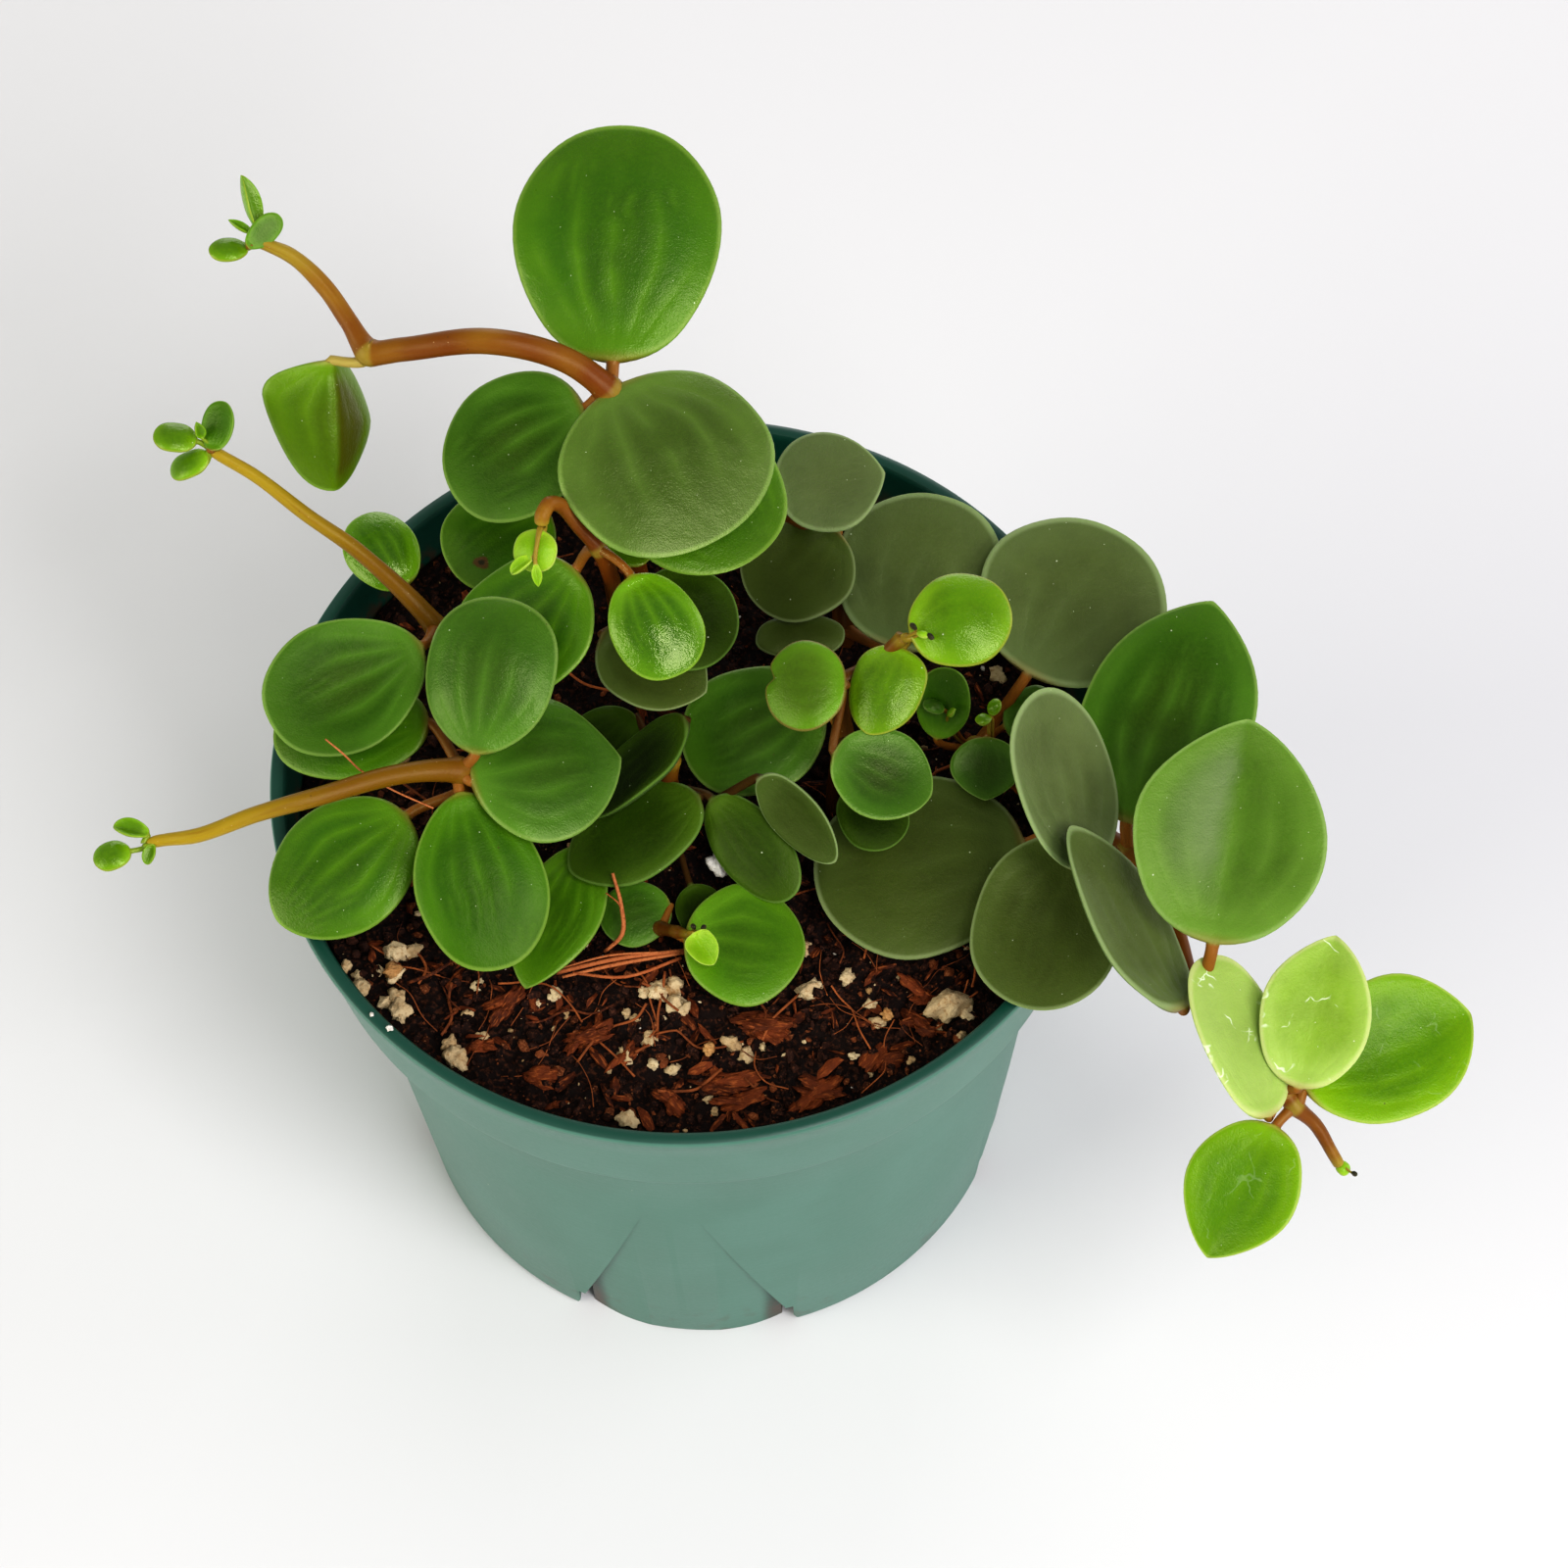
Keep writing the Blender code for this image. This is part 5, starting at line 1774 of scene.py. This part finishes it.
                middle = Vector((here_x, here_y, self.height(here_x, here_y) + rise))
                turned = heading + self.draw.uniform(-0.6, 0.6)
                splinters.append(Lump(middle, shape * MM, self.draw.uniform(0.4, 1.0), turned))
        self.make_heap("bark_pieces", BARK, splinters, fineness=3)

    def make_lumps(self) -> None:
        """Places the larger perlite lumps where they show, and loose ones, thin under the leaves: painted
        shade.
        """
        placed = (
            (-37.5, -21.5, 1.4), (-35.5, -21.3, 1.2), (-43.8, -23.2, 0.9), (-42.4, -24.4, 0.7),
            (-42, -26.5, 1.2), (-37.6, -25, 1.1), (-36.8, -30, 1.3), (-37.5, -28, 1.1), (-30, -36.5, 1.7),
            (-31, -34.5, 1.0), (-38.8, -28.6, 0.9), (-5, -29, 1.5), (-6.8, -29.2, 0.9), (-3.2, -28, 1.3),
            (-3, -30.5, 1.3), (-1.8, -31.6, 1.0), (3.8, -36.3, 1.1), (13.6, -29.3, 1.6), (30.5, -32.2, 2.6),
            (21.6, -34, 1.0), (21, -31.5, 0.8), (7.6, -36.5, 0.6), (18.6, -38.5, 0.6), (-9.2, -46, 1.3),
            (1.5, -45, 0.6), (32, -36, 0.6), (-9, -31.5, 0.6), (-16.5, -31, 0.6), (-20, -29.5, 0.6),
        )
        lumps = []
        for x, y, size in placed:
            x, y, size = x * MM, y * MM, size * MM
            middle = Vector((x, y, self.height(x, y) + size * 0.4))
            shape = Vector((size, size * self.draw.uniform(0.65, 0.95), size * self.draw.uniform(0.6, 0.85)))
            lumps.append(Lump(middle, shape, self.draw.uniform(0.35, 1.0)))
        for _ in range(self.loose_perlite):
            x, y = self.spot(self.reach)
            if self.skipped_for_shade(y):
                continue
            size = self.draw.uniform(0.4, 1.3) * MM
            middle = Vector((x, y, self.height(x, y) + size * 0.15))
            lumps.append(Lump(middle, Vector((size, size * 0.8, size * 0.7)), self.draw.random()))
        self.make_heap("perlite_lumps", PERLITE, lumps, fineness=3)
        for finish, spots in (
            (AMBER, ((-37.8, -24.6, 78.2, 1.1), (1, -37.3, 78.2, 0.8), (23, -33.5, 78.2, 0.8))),
            (CHALK, ((3.2, -13.3, 81.8, 1.6), (-37.5, -35.8, 84.25, 0.42), (-39.7, -33.8, 84.2, 0.3))),
        ):
            lumps = [
                Lump(Vector((x, y, z)) * MM, Vector((size, size * 0.85, size * 0.75)) * MM, 0.8)
                for x, y, z, size in spots
            ]
            self.make_heap(f"{finish.name}_lumps", finish, lumps, fineness=3)

    def make_strands(self) -> None:
        """Lays coir strands across the surface, two of them in plain view and one standing up."""
        plain = [
            [(-46.5, 6, 84.8, 0.14), (-41, 1.5, 86.5, 0.16), (-32.4, -5, 85, 0.16)],
            [(-36, -26.5, 78.3, 0.22), (-33, -25.8, 79, 0.24), (-30.6, -24, 78.6, 0.2)],
        ]
        bright = [
            [(-17.5, -26.2, 78.9, 0.3), (-10, -25, 79.6, 0.3), (-1.5, -24.4, 80, 0.26)],
            [(-16.8, -26.8, 78.8, 0.2), (-10, -25.7, 79.5, 0.26), (-1.5, -24.7, 79.9, 0.2)],
            [(-17.2, -25.7, 78.9, 0.14), (-11, -24.6, 79.8, 0.16), (-4, -24.6, 80.1, 0.14)],
            [(-15.5, -26.4, 79, 0.2), (-9, -27.4, 79.3, 0.22), (-2, -25.4, 79.9, 0.22)],
            [(-10, -17, 87, 0.2), (-9.1, -20.3, 84.5, 0.26), (-9.2, -22.6, 81.5, 0.3),
             (-11.5, -23.6, 79, 0.26)],
            [(-10.9, -19.2, 86, 0.08), (-9.4, -20.2, 84.9, 0.1), (-8.9, -21.3, 83.4, 0.1)],
            [(-43.6, -6.8, 104.6, 0.1), (-41.6, -8.2, 103.4, 0.12), (-40, -8.6, 100.3, 0.12),
             (-36.6, -10.9, 99.6, 0.12), (-31, -13.8, 99, 0.1)],
        ]
        lines: list[list[tuple[float, float, float, float]]] = []
        for _ in range(self.loose_strands):
            x, y = self.spot(self.reach)
            if self.skipped_for_shade(y):
                continue
            heading = self.draw.uniform(0, math.tau)
            radius = 0.05 + 0.17 * self.draw.random() ** 2
            line = []
            for _ in range(self.draw.randint(3, 5)):
                if math.hypot(x, y) > self.edge * self.strand_reach:
                    break
                rise = self.draw.uniform(0.2, 1.3) * MM
                line.append((x / MM, y / MM, (self.height(x, y) + rise) / MM, radius))
                step = self.draw.uniform(1.5, 3.5) * MM
                heading += self.draw.uniform(-0.8, 0.8)
                x, y = x + step * math.cos(heading), y + step * math.sin(heading)
            if len(line) > 2:
                lines.append(line)
        self.join_strands("coir_strands", COIR, plain + lines)
        self.join_strands("tow_strands", TOW, bright)

    def join_strands(
        self, name: str, finish: CrumbFinish, lines: Sequence[Sequence[tuple[float, float, float, float]]],
    ) -> None:
        """Makes one piece of many strands.

        Args:
            name: The piece's name.
            finish: Their matter.
            lines: Each strand's (x, y, z, radius) points in mm.
        """
        strands = []
        for number, line in enumerate(lines):
            strand = Tube(Path(line, steps=5), sides=6).make(f"strand_{number}")
            store(strand.data, TONE, [self.draw.random()] * len(strand.data.vertices))
            strands.append(strand)
        make_active(strands[0])
        for strand in strands:
            strand.select_set(True)
        bpy.ops.object.join()
        strands[0].name = strands[0].data.name = name
        place_piece(strands[0], finish.material())


@dataclass
class Studio:
    """The pale floor, the soft lights and the camera."""

    floor_tone: Color = (0.675, 0.668, 0.675)
    lens: float = 101.25
    distance: float = 551.7 * MM
    target: Point = (11.5, -3.5, 84)
    elevation: float = 59.44
    roll: float = -2.3
    middle: Point = (0.0, 0.0, 0.06)
    sky_tone: Color = (0.96, 0.97, 0.98)
    sky_strength: float = 0.36

    def build(self) -> None:
        """Sets the scene up."""
        self.lay_floor()
        self.set_world()
        self.add_light("right_window", (0.75, -0.90, 0.80), 0.8, 13.6, (0.985, 0.97, 1.0))
        self.add_light("left_sheet", (-1.1, -0.45, 0.65), 0.9, 9.5, (1.0, 1.0, 0.86))
        self.add_light("back_sheet", (0.1, 1.35, 0.45), 0.9, 5.5, (0.99, 0.98, 1.0))
        self.add_light("side_sheet", (1.2, 0.25, 0.45), 0.8, 3.6, (0.97, 0.93, 1.0))
        self.add_light("top_panel", (0.30, -0.45, 1.10), 0.3, 3.2, (1.0, 1.0, 1.0))
        self.set_camera()
        bpy.context.scene.view_settings.view_transform = "Standard"
        bpy.context.scene.view_settings.look = "Medium High Contrast"

    def lay_floor(self) -> None:
        """Lays the floor."""
        clear_selection()
        bpy.ops.mesh.primitive_plane_add(size=6)
        floor = bpy.context.object
        floor.name = "studio_floor"
        g = Graph("studio_floor")
        cloud = g.noise(60.0, 2.0)
        tone = g.mix((cloud - 0.5) * 0.3, self.floor_tone, tuple(0.96 * c for c in self.floor_tone))
        floor.data.materials.append(g.finish(Base_Color=tone, Roughness=0.85, Specular_IOR_Level=0.2))

    def set_world(self) -> None:
        """Sets the even light from all round."""
        world = bpy.data.worlds.new("studio")
        world.use_nodes = True
        background = world.node_tree.nodes["Background"]
        background.inputs["Color"].default_value = (*self.sky_tone, 1.0)
        background.inputs["Strength"].default_value = self.sky_strength
        bpy.context.scene.world = world

    def add_light(self, name: str, place: Point, size: float, power: float, color: Color) -> None:
        """Adds a soft sheet of light that faces the middle.

        Args:
            name: Its name.
            place: Where it hangs, in metres.
            size: The side of its square, in metres.
            power: Its power in watts.
            color: Its colour.
        """
        light = bpy.data.lights.new(name, "AREA")
        light.shape = "SQUARE"
        light.size = size
        light.energy = power
        light.color = color
        lamp = bpy.data.objects.new(name, light)
        lamp.location = place
        lamp.rotation_euler = (Vector(self.middle) - Vector(place)).to_track_quat("-Z", "Y").to_euler()
        bpy.context.scene.collection.objects.link(lamp)

    def set_camera(self) -> None:
        """Places the camera at the photograph's angle."""
        camera = bpy.data.cameras.new("camera")
        camera.lens = self.lens
        camera.clip_start = 0.01
        eye = bpy.data.objects.new("camera", camera)
        tilt = math.radians(90 - self.elevation)
        turn = Matrix.Rotation(tilt, 4, "X") @ Matrix.Rotation(math.radians(self.roll), 4, "Z")
        back = Matrix.Rotation(tilt, 4, "X").col[2].to_3d()
        place = Vector(self.target) * MM + back * self.distance
        eye.matrix_world = Matrix.Translation(place) @ turn
        bpy.context.scene.collection.objects.link(eye)
        bpy.context.scene.camera = eye


def main() -> None:
    """Builds the plant, its pot and the studio."""
    logging.basicConfig(level=logging.INFO, format="%(message)s")
    Studio().build()
    Pot().build()
    Soil().build()
    Plant().build()


if __name__ == "__main__":
    main()
